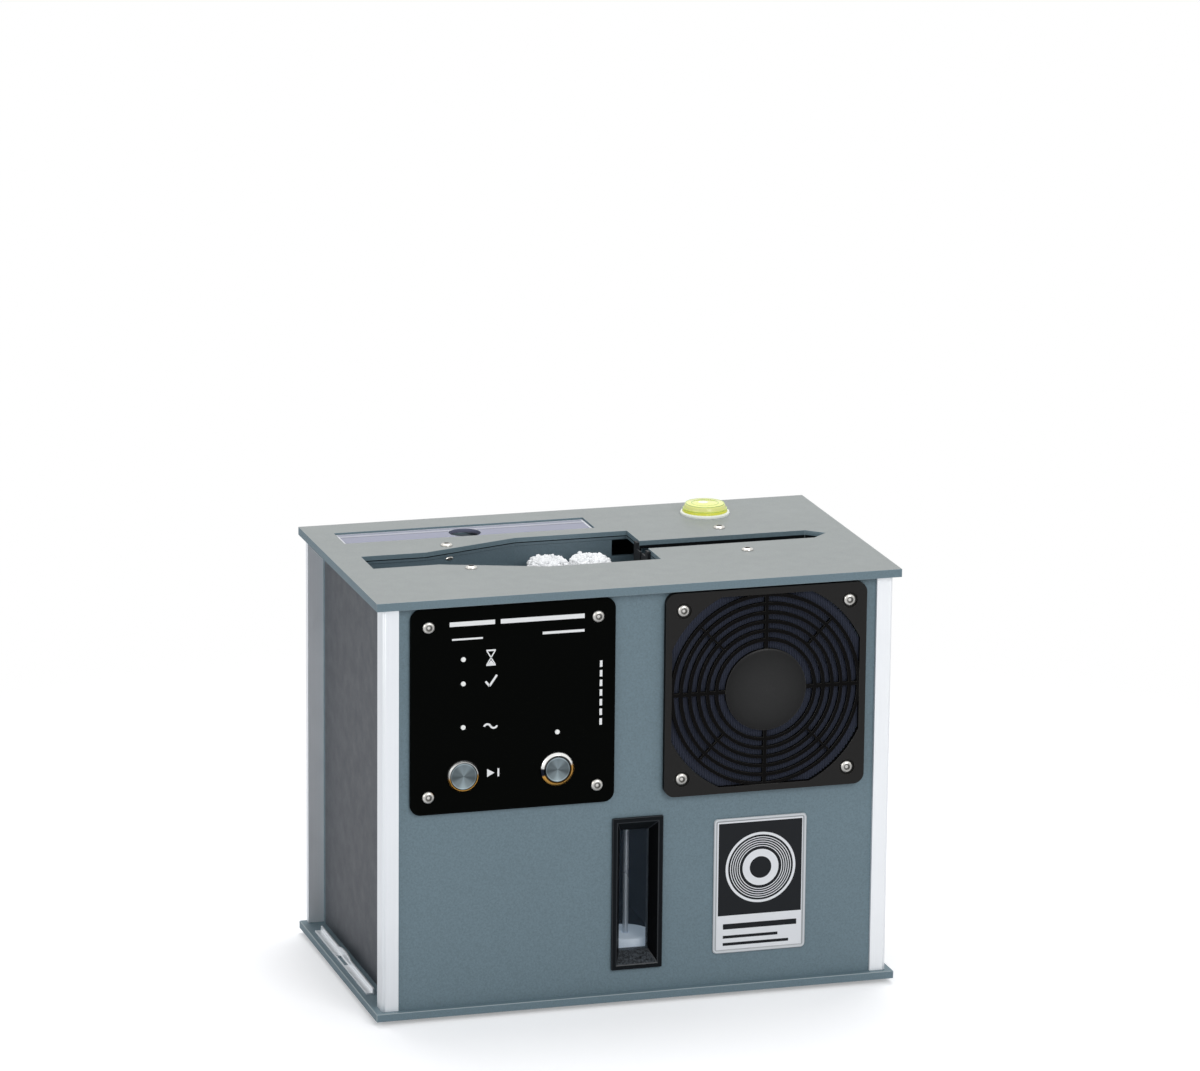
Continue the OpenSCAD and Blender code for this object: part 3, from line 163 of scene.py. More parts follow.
# Cabinet: plates and panels.
# Base plate, top plate and panels are sawn from grey PVC sheet of one kind. Its skin has a fine
# pressed grain, and the sawn edges are broken to a hair's bevel painted paler as a highlight.
def group(name, ins, outs):
    tree = bpy.data.node_groups.new(name, "ShaderNodeTree")
    for label, kind, value in ins:
        item = tree.interface.new_socket(name=label, in_out="INPUT", socket_type=kind)
        item.default_value = value
    for label, kind in outs:
        tree.interface.new_socket(name=label, in_out="OUTPUT", socket_type=kind)
    return tree, tree.nodes.new("NodeGroupInput"), tree.nodes.new("NodeGroupOutput")


def noise_node(tree, vector, scale, detail=3.0, rough=0.6):
    n = tree.nodes.new("ShaderNodeTexNoise")
    tree.links.new(vector, n.inputs["Vector"])
    if isinstance(scale, (int, float)):
        n.inputs["Scale"].default_value = scale
    else:
        tree.links.new(scale, n.inputs["Scale"])
    n.inputs["Detail"].default_value = detail
    n.inputs["Roughness"].default_value = rough
    return n.outputs["Fac"]


def scaled(tree, colour, value, output):
    """Puts out a colour times a value."""
    tone = tree.nodes.new("ShaderNodeVectorMath")
    tone.operation = "SCALE"
    tree.links.new(colour, tone.inputs[0])
    tree.links.new(value, tone.inputs["Scale"])
    tree.links.new(tone.outputs[0], output)


COLOUR, NUMBER, VECTOR = "NodeSocketColor", "NodeSocketFloat", "NodeSocketVector"
grain, gi, go = group(
    "pressed_grain",
    [
        ("Colour", COLOUR, (0.2, 0.2, 0.2, 1)), ("Grain", NUMBER, 1400.0),
        ("Contrast", NUMBER, 0.25), ("Roughness", NUMBER, 0.55), ("Wear", NUMBER, 0.1),
        ("Shade", NUMBER, 1.0)
    ],
    [("Colour", COLOUR), ("Roughness", NUMBER), ("Height", NUMBER)],
)
where = grain.nodes.new("ShaderNodeTexCoord").outputs["Object"]
fine = noise_node(grain, where, gi.outputs["Grain"], 2.0, 0.7)
broad = noise_node(grain, where, 14.0, 4.0, 0.55)
rubbed = noise_node(grain, where, 95.0, 5.0, 0.65)
swing = math_node(
    grain, "MULTIPLY", math_node(grain, "SUBTRACT", fine, 0.5), gi.outputs["Contrast"]
)
drift = math_node(grain, "MULTIPLY", math_node(grain, "SUBTRACT", broad, 0.5), gi.outputs["Wear"])
value = math_node(
    grain, "MULTIPLY", math_node(grain, "ADD", math_node(grain, "ADD", swing, drift), 1.0),
    gi.outputs["Shade"]
)
scaled(grain, gi.outputs["Colour"], value, go.inputs["Colour"])
polish = math_node(grain, "MULTIPLY", math_node(grain, "SUBTRACT", rubbed, 0.5), gi.outputs["Wear"])
grain.links.new(
    math_node(grain, "ADD", gi.outputs["Roughness"], math_node(grain, "MULTIPLY", polish, 1.6)),
    go.inputs["Roughness"]
)
grain.links.new(
    math_node(grain, "ADD", fine, math_node(grain, "MULTIPLY", rubbed, 0.25)), go.inputs["Height"]
)


def material(name, tree, values, bump=0.0, depth=0.0002, shaded=False, **own):
    m = bpy.data.materials.new(name)
    m.use_nodes = True
    n, l = m.node_tree.nodes, m.node_tree.links
    surface = n["Principled BSDF"]
    for label, v in own.items():
        surface.inputs[label.replace("_", " ")].default_value = v
    effect = n.new("ShaderNodeGroup")
    effect.node_tree = tree
    for label, v in values.items():
        effect.inputs[label].default_value = v
    if shaded:
        shade = n.new("ShaderNodeAttribute")
        shade.attribute_name = "shade"
        l.new(shade.outputs["Fac"], effect.inputs["Shade"])
    l.new(effect.outputs["Colour"], surface.inputs["Base Color"])
    l.new(effect.outputs["Roughness"], surface.inputs["Roughness"])
    if bump:
        relief = n.new("ShaderNodeBump")
        relief.inputs["Strength"].default_value = bump
        relief.inputs["Distance"].default_value = depth
        l.new(effect.outputs["Height"], relief.inputs["Height"])
        l.new(relief.outputs[0], surface.inputs["Normal"])
    return m


def hue(code):
    c = [int(code[k:k + 2], 16) / 255 for k in (1, 3, 5)]
    return tuple(v / 12.92 if v <= 0.04045 else ((v + 0.055) / 1.055) ** 2.4 for v in c) + (1,)


def sheet(name, code, rough=0.55, contrast=0.34, bump=0.25, size=1500.0, wear=0.1, **own):
    return material(
        name, grain,
        {
            "Colour": hue(code), "Grain": size, "Contrast": contrast, "Roughness": rough,
            "Wear": wear
        },
        bump, **own
    )


def bevelled(source, width, segments=2, edge_slot=-1):
    """A copy of a CAD piece with its doubles merged and its sharp edges broken."""
    mesh = node[source].data.copy()
    copy = bpy.data.objects.new(source + "_finished", mesh)
    scene.collection.objects.link(copy)
    b = bmesh.new()
    b.from_mesh(mesh)
    bmesh.ops.remove_doubles(b, verts=b.verts, dist=0.000002)
    bmesh.ops.dissolve_limit(b, angle_limit=math.radians(1), verts=b.verts, edges=b.edges)
    b.to_mesh(mesh)
    b.free()
    edge = copy.modifiers.new("broken_edges", "BEVEL")
    edge.width = width
    edge.segments = segments
    edge.limit_method = "ANGLE"
    edge.angle_limit = math.radians(40)
    edge.material = edge_slot
    mesh.materials.clear()
    return copy


def dress(piece, finish, body=None, cad=()):
    piece.data.materials.clear()
    for one in finish if isinstance(finish, (list, tuple)) else [finish]:
        piece.data.materials.append(one)
    if body:
        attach(piece, body)
    if cad:
        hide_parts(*cad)
    return piece


def banded(piece, cuts, rule):
    """Scores a piece along planes, and gives each face the finish that the rule picks."""
    b = bmesh.new()
    b.from_mesh(piece.data)
    for axis, places in cuts.items():
        for place in places:
            facing = Vector([float(axis == one) for one in "xyz"])
            bmesh.ops.bisect_plane(
                b, geom=b.verts[:] + b.edges[:] + b.faces[:], plane_co=facing * place,
                plane_no=facing
            )
    for f in b.faces:
        f.material_index = rule(f.calc_center_median(), f.normal)
    b.to_mesh(piece.data)
    b.free()


slate = sheet("slate_sheet", "#667a83", 0.55, 0.6, 0.3, 1000.0)
# Paler sheet for the bevel faces of the plates' edges: a painted highlight.
painted_edge_highlight = sheet("edge_painted_highlight", "#93a0a4", 0.45, 0.2)
# The top plate's top face: the same sheet painted lighter and greyer, as painted light from above.
deck_painted_light = sheet("deck_painted_light", "#868b8a", 0.5, 0.42, 0.3, 1000.0, 0.16)
# The side panels: the same sheet painted darker, as painted shade.
side_painted_shade = sheet("side_sheet_painted_shade", "#3f4349", 0.55, 0.4, 0.25, 1000.0, 0.2)
# Slate painted darker as shade for the walls in the slot, and near black as painted shadow for the
# shadow line and the dry arm.
tub = sheet("tub_sheet_painted_shade", "#5a6c75", 0.5, 0.4, 0.25, 1000.0)
tub_painted_shadow = sheet("tub_sheet_painted_shadow", "#0d1012", 0.6, 0.4, 0.25, 1000.0, Specular_IOR_Level=0.05)
top = bevelled("top_plate", 0.0004, segments=1, edge_slot=1)
dress(top, [slate, painted_edge_highlight, deck_painted_light, tub, tub_painted_shadow], "cabinet", ["top_plate"])
deck_level = max(v.co.z for v in top.data.vertices)
lit_edge, shadow_line_foot = 0.2601, 0.2595  # heights in the slot's wall: slate above, a painted shadow line between, slate painted darker as shade below
slot_x, slot_y, bay_x = 0.15, 0.04, 0.031  # reach of the slot, and where its dry arm begins


# The deck's top face takes the slate painted lighter as light; the slot's wall takes slate, then a
# painted shadow line, then darker slate as painted shade, and near black as painted shadow along
# the dry arm.
def plate_faces(spot, facing):
    if facing.z > 0.9 and spot.z > deck_level - 0.0002:
        return 2
    if abs(facing.z) > 0.5 or abs(spot.y) > slot_y or abs(spot.x) > slot_x or spot.z > lit_edge:
        return 0
    return 4 if spot.z > shadow_line_foot or spot.x > bay_x else 3


banded(top, {"z": (lit_edge, shadow_line_foot)}, plate_faces)
dress(
    bevelled("base_plate", 0.0004, segments=1, edge_slot=1), [slate, painted_edge_highlight], "cabinet",
    ["base_plate"]
)
for name, finish in (
    ("front_panel", slate), ("rear_panel", slate), ("left_side_panel", side_painted_shade),
    ("right_side_panel", side_painted_shade)
):
    dress(node[name], finish)

# Corner profiles and base rails.
# Extruded aluminium, anodised satin. The die leaves fine lines along each length.
drawn, di, do = group(
    "drawn_metal",
    [
        ("Colour", COLOUR, (0.8, 0.8, 0.8, 1)), ("Stretch", VECTOR, (1, 1, 1)),
        ("Contrast", NUMBER, 0.2), ("Roughness", NUMBER, 0.35), ("Shade", NUMBER, 1.0)
    ],
    [("Colour", COLOUR), ("Roughness", NUMBER), ("Height", NUMBER)],
)
where = drawn.nodes.new("ShaderNodeTexCoord").outputs["Object"]
pull = drawn.nodes.new("ShaderNodeVectorMath")
pull.operation = "MULTIPLY"
drawn.links.new(where, pull.inputs[0])
drawn.links.new(di.outputs["Stretch"], pull.inputs[1])
lines = noise_node(drawn, pull.outputs[0], 1.0, 4.0, 0.7)
cloud = noise_node(drawn, where, 60.0, 3.0, 0.5)
value = math_node(
    drawn, "ADD",
    math_node(drawn, "MULTIPLY", math_node(drawn, "SUBTRACT", lines, 0.5), di.outputs["Contrast"]),
    1.0
)
value = math_node(drawn, "MULTIPLY", value, di.outputs["Shade"])
scaled(drawn, di.outputs["Colour"], value, do.inputs["Colour"])
drawn.links.new(
    math_node(
        drawn, "ADD", di.outputs["Roughness"],
        math_node(drawn, "MULTIPLY", math_node(drawn, "SUBTRACT", cloud, 0.5), 0.16)
    ),
    do.inputs["Roughness"]
)
drawn.links.new(lines, do.inputs["Height"])


def metal(name, code, stretch, rough=0.35, contrast=0.15, bump=0.15, metallic=1.0, **own):
    return material(
        name, drawn,
        {"Colour": hue(code), "Stretch": stretch, "Contrast": contrast, "Roughness": rough}, bump,
        0.0001, Metallic=metallic, **own
    )


satin_upright = metal("satin_aluminium_upright", "#eef1f4", (1800, 1800, 12), 0.42, 0.1, 0.1, 0.75)
satin_level = metal("satin_aluminium_level", "#e4e7ea", (1800, 12, 1800), 0.4, 0.1, 0.1, 0.8)
for name in ("front_left_profile", "rear_left_profile", "rear_right_profile"):
    dress(bevelled(name, 0.0002), satin_upright, "cabinet", [name])
# The front right upright: the same aluminium painted paler and less metallic, as painted light.
upright_painted_light = metal(
    "aluminium_upright_painted_light", "#f7f9fb", (1800, 1800, 12), 0.42, 0.06, 0.1, 0.45
)
dress(bevelled("front_right_profile", 0.0002), upright_painted_light, "cabinet", ["front_right_profile"])
dress(bevelled("base_rails", 0.0002), satin_level, "cabinet", ["base_rails"])
foot_rubber = sheet("foot_rubber", "#1d1d1e", 0.8, 0.3)
dress(bevelled("rubber_feet", 0.0008), foot_rubber, "cabinet", ["rubber_feet"])


# Screws of the top plate, the control panel and the fan guards.
# Button heads of turned steel with a hexagon socket, one head repeated at sixteen places.
def turned_piece(name, profile, centre=(0, 0, 0), axis="Z", steps=96):
    """Turns rows of (radius, height, shade, sides) about Z, or about the front's normal."""
    verts, faces, shades = [], [], []
    n = len(profile)
    for k in range(steps):
        a = 2 * math.pi * k / steps
        for r, h, *more in profile:
            shades.append(more[0] if more else 1.0)
            if len(more) > 1:
                wedge = 2 * math.pi / more[1]
                r *= math.cos(wedge / 2) / math.cos(a % wedge - wedge / 2)
            across, along = r * math.cos(a), r * math.sin(a)
            spot = (across, along, h) if axis == "Z" else (across, -h, along)
            verts.append([c + s for c, s in zip(centre, spot)])
    for k in range(steps):
        j = (k + 1) % steps
        for i in range(n):
            p = (i + 1) % n
            faces.append((k * n + i, j * n + i, j * n + p, k * n + p))
    piece = plain_mesh(name, verts, faces, True)
    piece.data.attributes.new("shade", "FLOAT", "POINT").data.foreach_set("value", shades)
    b = bmesh.new()
    b.from_mesh(piece.data)
    bmesh.ops.remove_doubles(b, verts=b.verts, dist=0.000002)
    bmesh.ops.dissolve_degenerate(b, edges=b.edges, dist=0.000002)
    bmesh.ops.recalc_face_normals(b, faces=b.faces)
    for e in b.edges:
        if len(e.link_faces) == 2 and e.calc_face_angle(0) > math.radians(32):
            e.smooth = False
    b.to_mesh(piece.data)
    b.free()
    return piece


def set_out(name, part, places, finish, body, cad=(), keep=False):
    """Repeats a small part at each (x, y, z, turn x, turn y, turn z, scale) by Geometry Nodes."""
    spots = plain_mesh(name + "_places", [p[:3] for p in places], [])
    turns = spots.data.attributes.new("turn", "FLOAT_VECTOR", "POINT")
    sizes = spots.data.attributes.new("size", "FLOAT_VECTOR", "POINT")
    for k, p in enumerate(places):
        turns.data[k].vector = p[3:6]
        sizes.data[k].vector = p[6] if isinstance(p[6], tuple) else (p[6],) * 3
    tree = bpy.data.node_groups.new(name + "_set_out", "GeometryNodeTree")
    tree.interface.new_socket(name="Places", in_out="INPUT", socket_type="NodeSocketGeometry")
    shape = tree.interface.new_socket(name="Part", in_out="INPUT", socket_type="NodeSocketObject")
    skin = tree.interface.new_socket(
        name="Finish", in_out="INPUT", socket_type="NodeSocketMaterial"
    )
    tree.interface.new_socket(name="Result", in_out="OUTPUT", socket_type="NodeSocketGeometry")
    n, l = tree.nodes, tree.links
    start, end = n.new("NodeGroupInput"), n.new("NodeGroupOutput")
    source = n.new("GeometryNodeObjectInfo")
    l.new(start.outputs["Part"], source.inputs["Object"])
    put = n.new("GeometryNodeInstanceOnPoints")
    l.new(start.outputs["Places"], put.inputs["Points"])
    l.new(source.outputs["Geometry"], put.inputs["Instance"])
    for label, socket in (("turn", "Rotation"), ("size", "Scale")):
        field = n.new("GeometryNodeInputNamedAttribute")
        field.data_type = "FLOAT_VECTOR"
        field.inputs["Name"].default_value = label
        if label == "turn":
            euler = n.new("FunctionNodeEulerToRotation")
            l.new(field.outputs[0], euler.inputs[0])
            l.new(euler.outputs[0], put.inputs[socket])
        else:
            l.new(field.outputs[0], put.inputs[socket])
    real = n.new("GeometryNodeRealizeInstances")
    l.new(put.outputs["Instances"], real.inputs[0])
    paint = n.new("GeometryNodeSetMaterial")
    l.new(real.outputs[0], paint.inputs["Geometry"])
    l.new(start.outputs["Finish"], paint.inputs["Material"])
    l.new(paint.outputs[0], end.inputs[0])
    run = spots.modifiers.new("set_out", "NODES")
    run.node_group = tree
    run[shape.identifier] = part
    run[skin.identifier] = finish
    mesh = bpy.data.meshes.new_from_object(
        spots.evaluated_get(bpy.context.evaluated_depsgraph_get())
    )
    mesh.name = name
    bpy.data.objects.remove(spots)
    if not keep:
        bpy.data.objects.remove(part)
    piece = bpy.data.objects.new(name, mesh)
    scene.collection.objects.link(piece)
    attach(piece, body)
    if cad:
        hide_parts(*cad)


turned = metal("turned_steel", "#c2c0bb", (900, 900, 900), 0.3, 0.2, 0.2, shaded=True)
# The third column paints light and shade on the head: a painted highlight on the dome, painted
# shade in and round the hexagon socket, and a painted reflection at the socket's centre.
dome = [
    (0.0001, 0.0, 0.4), (0.0038, 0.0, 0.4), (0.0038, 0.0004, 0.75), (0.0036, 0.0009, 1.2),
    (0.0031, 0.0014, 1.25), (0.0025, 0.0018, 1.0), (0.0021, 0.0019, 0.75)
]
dome += [
    (0.0019, 0.00188, 0.35), (0.0017, 0.00186, 0.28, 6), (0.0015, 0.0009, 0.25, 6),
    (0.0010, 0.0008, 0.4), (0.0008, 0.0008, 1.3), (0.0001, 0.0008, 1.3)
]
head = turned_piece("button_head", dome, steps=48)
quarter = math.pi / 2
panel_x, fan_x, face_z, screw_reach = -0.079, 0.079, 0.193, 0.0525
control_front, guard_seat = -0.0925, 0.0933
seats = []
for sx in (-1, 1):
    for sz in (-1, 1):
        x, z = sx * screw_reach, face_z + sz * screw_reach
        seats.append((panel_x + x, control_front, z, quarter, 0.3 * sx, 0, 1.0))
        seats.append((fan_x + x, -guard_seat, z, quarter, 0.4 * sz, 0, 1.0))
        seats.append((fan_x + x, guard_seat, z, -quarter, 0.2 * sx, 0, 1.0))
set_out("panel_screw_heads", head, seats, turned, "cabinet", ["panel_screws"], keep=True)
flat, sunk = (0.96, 0.96, 0.8), (0.75, 0.32, 0.35)
seats = [
    (sx * 0.0875, sy * 0.0284, 0.263, 0, 0, 0.5 * sx, flat) for sx in (-1, 1) for sy in (-1, 1)
]
seats.append((-0.0877, 0.0210, 0.2566, quarter, 0, 0.326, sunk))
set_out("top_screw_heads", head, seats, turned, "cabinet", ["top_screws"])

# Filler lid.
# A loose plate of acrylic, sawn and flame polished, lilac from its thickness. Its polished rim
# carries a painted highlight, a pale rear band is a painted reflection of the rear wall, and a
# darker line lies between that band and the lilac front.
lid_rear_painted_reflection = material(
    "acrylic_painted_reflection", grain,
    {"Colour": hue("#b9bbcb"), "Grain": 500.0, "Contrast": 0.04, "Roughness": 0.1, "Wear": 0.1},
    Transmission_Weight=0.3, IOR=1.4, Specular_IOR_Level=0.3
)
lilac = material(
    "lilac_acrylic", grain,
    {"Colour": hue("#9599b2"), "Grain": 500.0, "Contrast": 0.04, "Roughness": 0.1, "Wear": 0.1},
    Transmission_Weight=0.3, IOR=1.4, Specular_IOR_Level=0.25
)
lid_dark_line = material(
    "acrylic_dark_line", grain,
    {"Colour": hue("#6e7388"), "Grain": 500.0, "Contrast": 0.04, "Roughness": 0.1, "Wear": 0.1},
    Transmission_Weight=0.3, IOR=1.4, Specular_IOR_Level=0.2
)
lid_rim_painted_highlight = material(
    "acrylic_rim_painted_highlight", grain,
    {"Colour": hue("#eff0f6"), "Grain": 900.0, "Contrast": 0.05, "Roughness": 0.12, "Wear": 0.05},
    Transmission_Weight=0.15, IOR=1.4
)
lid = dress(
    bevelled("filler_lid", 0.0007, segments=1, edge_slot=1), [lid_rear_painted_reflection, lid_rim_painted_highlight, lid_dark_line, lilac],
    "filler_lid", ["filler_lid"]
)


left_rim, right_rim, rear_rim = -0.1449, 0.0113, 0.0736
dark_line_front, dark_line_rear = 0.0658, 0.0672


# Rim faces at the ends and the rear take the painted highlight, the rear band takes the painted
# reflection, then comes the darker line, then lilac; upright faces stay lilac.
def lid_bands(spot, facing):
    if abs(facing.z) < 0.5:
        return 3
    if spot.x < left_rim or spot.x > right_rim or spot.y > rear_rim:
        return 1
    return 0 if spot.y > dark_line_rear else 2 if spot.y > dark_line_front else 3


banded(lid, {"x": (left_rim, right_rim), "y": (dark_line_front, dark_line_rear, rear_rim)}, lid_bands)

# Spirit level.
# A round level of clear plastic: a white foot ring, a cup of yellow-green spirit under a flat
# glass, the bubble and the thin green lines of the cup's rim and target ring.
low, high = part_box("spirit_level")
base = ((low.x + high.x) / 2, (low.y + high.y) / 2, low.z)


def tinted(name, code, clear=0.04, rough=0.14):
    return material(
        name, grain,
        {"Colour": hue(code), "Grain": 400.0, "Contrast": 0.05, "Roughness": rough, "Wear": 0.06},
        Transmission_Weight=clear, IOR=1.4, Specular_IOR_Level=0.3
    )


green_line = tinted("level_line", "#b4d47a")
foot = [
    (0.0001, 0.0), (0.0155, 0.0), (0.0155, 0.0020), (0.0151, 0.0026), (0.0142, 0.0028),
    (0.0001, 0.0028)
]
dress(
    turned_piece("level_foot", foot, base), tinted("level_rim", "#f7faf2"), "cabinet",
    ["spirit_level"]
)
cup = [
    (0.0001, 0.0026), (0.0141, 0.0026), (0.0142, 0.0032), (0.0138, 0.0044), (0.0133, 0.0049),
    (0.0001, 0.0049)
]
dress(
    turned_piece("level_cup", cup, base), tinted("level_spirit", "#ecee5c"), "cabinet",
    ["spirit_level"]
)
crown = [
    (0.0001, 0.0048), (0.0133, 0.0048), (0.0128, 0.0066), (0.0123, 0.0074), (0.0115, 0.0078),
    (0.0001, 0.0078)
]
dress(turned_piece("level_crown", crown, base), tinted("level_glass", "#f3f59a"), "cabinet")
for k, (r, h) in enumerate(((0.0120, 0.00765), (0.0084, 0.0078), (0.0137, 0.0046))):
    line = [
        (r - 0.0002, h - 0.0001), (r + 0.0002, h - 0.0001), (r + 0.0002, h + 0.0001),
        (r - 0.0002, h + 0.0001)
    ]
    dress(turned_piece("level_line_%d" % k, line, base), green_line, "cabinet")
bubble = [
    (0.0001, 0.0077), (0.0030, 0.0077), (0.0031, 0.00782), (0.0022, 0.00795), (0.0001, 0.0080)
]
dress(
    turned_piece("level_bubble", bubble, (base[0] - 0.0005, base[1] + 0.002, base[2])),
    tinted("level_bubble", "#f8faf0"), "cabinet"
)

# Control panel.
# A black plate with a silk-screened print in white, plain rules and pictograms, and four domed
# lamps pressed in from behind.
gloss = material(
    "gloss_black", grain,
    {"Colour": hue("#060706"), "Grain": 260.0, "Contrast": 0.2, "Roughness": 0.3, "Wear": 0.08},
    0.05, Specular_IOR_Level=0.012
)
dress(bevelled("control_panel", 0.0004), gloss, "cabinet", ["control_panel"])
ink = sheet("white_ink", "#e9eaea", 0.5, 0.12, 0.1, 2600.0)


def printed(name, shapes, y, finish):
    """Thin ink: each shape is an outline of (x, z) in millimetres, laid on the plane y."""
    verts, faces = [], []
    for outline in shapes:
        area = sum(a[0] * b[1] - b[0] * a[1] for a, b in zip(outline, outline[1:] + outline[:1]))
        rows = outline if area > 0 else outline[::-1]
        n, s = len(rows), len(verts)
        verts += [(x / 1000, y, z / 1000) for x, z in rows] + [
            (x / 1000, y + 0.00006, z / 1000) for x, z in rows
        ]
        faces.append(tuple(range(s, s + n)))
        faces.append(tuple(range(s + 2 * n - 1, s + n - 1, -1)))
        faces += [(s + k, s + n + k, s + n + (k + 1) % n, s + (k + 1) % n) for k in range(n)]
    dress(plain_mesh(name, verts, faces), finish, "cabinet")


def bar(x0, z0, x1, z1, thick):
    d = Vector((x1 - x0, z1 - z0)).normalized() * thick / 2
    s = Vector((-d.y, d.x))
    a, b = Vector((x0, z0)), Vector((x1, z1))
    return [tuple(p) for p in (a - s, b - s, b + s, a + s)]


def arc(cx, cz, r, a0, a1, thick, steps=16):
    out, back_again = [], []
    for k in range(steps + 1):
        a, b = math.radians(a0 + (a1 - a0) * k / steps), math.radians(a1 - (a1 - a0) * k / steps)
        outer, inner = r + thick / 2, r - thick / 2
        out.append((cx + outer * math.cos(a), cz + outer * math.sin(a)))
        back_again.append((cx + inner * math.cos(b), cz + inner * math.sin(b)))
    return out + back_again


marks = [
    bar(-118.5, 246.4, -90.5, 246.4, 2.8),
    bar(-87, 246.4, -35, 246.4, 2.8),
    bar(-117, 237, -98, 237, 1.1),
    bar(-61, 237.4, -35, 237.4, 1.6),
]
marks += [bar(-24.4, 178 + 6 * k, -24.4, 182 + 6 * k, 1.6) for k in range(7)]
hourglass = [
    bar(-95.8, 229, -90, 229, 1),
    bar(-95.8, 220, -90, 220, 1),
    bar(-95.4, 228.6, -92.9, 224.5, 0.7),
    bar(-90.4, 228.6, -92.9, 224.5, 0.7),
    bar(-95.4, 220.4, -92.9, 224.5, 0.7),
    bar(-90.4, 220.4, -92.9, 224.5, 0.7),
    [(-95, 220.4), (-90.8, 220.4), (-92.9, 223)],
]
tick = [bar(-96.2, 210, -93.8, 207, 1.3), bar(-93.8, 207, -89.2, 213.6, 1.3)]
wave = [arc(-95, 181.3, 2.1, 20, 160, 1.2), arc(-91, 183, 2.1, 200, 340, 1.2)]
start_sign = [[(-95, 150.5), (-90.4, 153), (-95, 155.5)], bar(-88, 150.5, -88, 155.5, 1.1)]
marks += hourglass + tick + wave + start_sign
printed("panel_print", marks, -0.09256, ink)
lens = [
    (0.0001, -0.002), (0.0015, -0.002), (0.0015, 0.0004), (0.0013, 0.0007), (0.0008, 0.0009),
    (0.0001, 0.00095)
]
glass_white = material(
    "lamp_lens", grain,
    {"Colour": hue("#f6f7f4"), "Grain": 900.0, "Contrast": 0.05, "Roughness": 0.25, "Wear": 0.05},
    0.05
)
spots = [(-0.110, 0.2245), (-0.110, 0.2095), (-0.110, 0.1825), (-0.0515, 0.1755)]
set_out(
    "lamp_lenses", turned_piece("lens", lens, steps=24),
    [(x, control_front, z, quarter, 0, 0, 1.0) for x, z in spots], glass_white, "cabinet",
    ["indicator_lamps"]
)

# Push buttons.
# Polished conical bezels screwed through the plate, coloured with painted reflections, pale above
# and warm below, and a painted dark reflection on the power bezel. Spun caps with fine bumped
# rings, coloured with painted light sectors that fan round them and a painted highlight on their
# rims.
ringed, ri, ro = group(
    "ring_painted_reflections",
    [
        ("Pale", COLOUR, (0.9, 0.9, 0.88, 1)), ("Warm", COLOUR, (0.75, 0.45, 0.15, 1)),
        ("Centre", VECTOR, (0, 0, 0)), ("Lean", NUMBER, 0.1), ("Dark Reflection", NUMBER, 0.0),
        ("Roughness", NUMBER, 0.12), ("Shade", NUMBER, 1.0)
    ],
    [("Colour", COLOUR), ("Roughness", NUMBER), ("Height", NUMBER)],
)


def round_centre(tree, centre):
    """The angle and the distance of a point about a centre on the front."""
    away = tree.nodes.new("ShaderNodeVectorMath")
    away.operation = "SUBTRACT"
    tree.links.new(tree.nodes.new("ShaderNodeTexCoord").outputs["Object"], away.inputs[0])
    tree.links.new(centre, away.inputs[1])
    parts = tree.nodes.new("ShaderNodeSeparateXYZ")
    tree.links.new(away.outputs[0], parts.inputs[0])
    x, z = parts.outputs["X"], parts.outputs["Z"]
    reach = math_node(
        tree, "SQRT",
        math_node(
            tree, "ADD", math_node(tree, "MULTIPLY", x, x), math_node(tree, "MULTIPLY", z, z)
        ),
        0
    )
    return math_node(tree, "ARCTAN2", z, x), reach


def ramp(tree, value, start, end):
    n = tree.nodes.new("ShaderNodeMapRange")
    n.interpolation_type = "SMOOTHSTEP"
    n.inputs["From Min"].default_value = start
    n.inputs["From Max"].default_value = end
    tree.links.new(value, n.inputs["Value"])
    return n.outputs["Result"]


def blended(tree, share, a, b):
    n = tree.nodes.new("ShaderNodeMix")
    n.data_type = "RGBA"
    tree.links.new(share, n.inputs[0])
    for socket, v in ((n.inputs[6], a), (n.inputs[7], b)):
        if isinstance(v, tuple):
            socket.default_value = v
        else:
            tree.links.new(v, socket)
    return n.outputs[2]


way, reach = round_centre(ringed, ri.outputs["Centre"])
# Painted reflection: pale above and warm below, turning with the angle round the button.
warm = ramp(
    ringed, math_node(ringed, "SINE", math_node(ringed, "ADD", way, ri.outputs["Lean"]), 0), 0.12,
    -0.12
)
# Painted dark reflection in a narrow patch on one side, where it is asked for.
dark = math_node(
    ringed, "MULTIPLY",
    ramp(
        ringed, math_node(ringed, "COSINE", math_node(ringed, "SUBTRACT", way, 3.28), 0), 0.955,
        0.985
    ),
    ri.outputs["Dark Reflection"]
)
mixed = blended(
    ringed, dark, blended(ringed, warm, ri.outputs["Pale"], ri.outputs["Warm"]),
    (0.01, 0.012, 0.02, 1)
)
scaled(ringed, mixed, ri.outputs["Shade"], ro.inputs["Colour"])
smear = noise_node(ringed, ringed.nodes.new("ShaderNodeTexCoord").outputs["Object"], 900.0)
ringed.links.new(
    math_node(ringed, "ADD", ri.outputs["Roughness"], math_node(ringed, "MULTIPLY", smear, 0.06)),
    ro.inputs["Roughness"]
)
ringed.links.new(smear, ro.inputs["Height"])

spun, si, so = group(
    "spun_rings_painted_sectors",
    [
        ("Colour", COLOUR, (0.7, 0.7, 0.7, 1)), ("Centre", VECTOR, (0, 0, 0)),
        ("Pitch", NUMBER, 5200.0), ("Bow", NUMBER, 0.25), ("Roughness", NUMBER, 0.3),
        ("Shade", NUMBER, 1.0)
    ],
    [("Colour", COLOUR), ("Roughness", NUMBER), ("Height", NUMBER)],
)
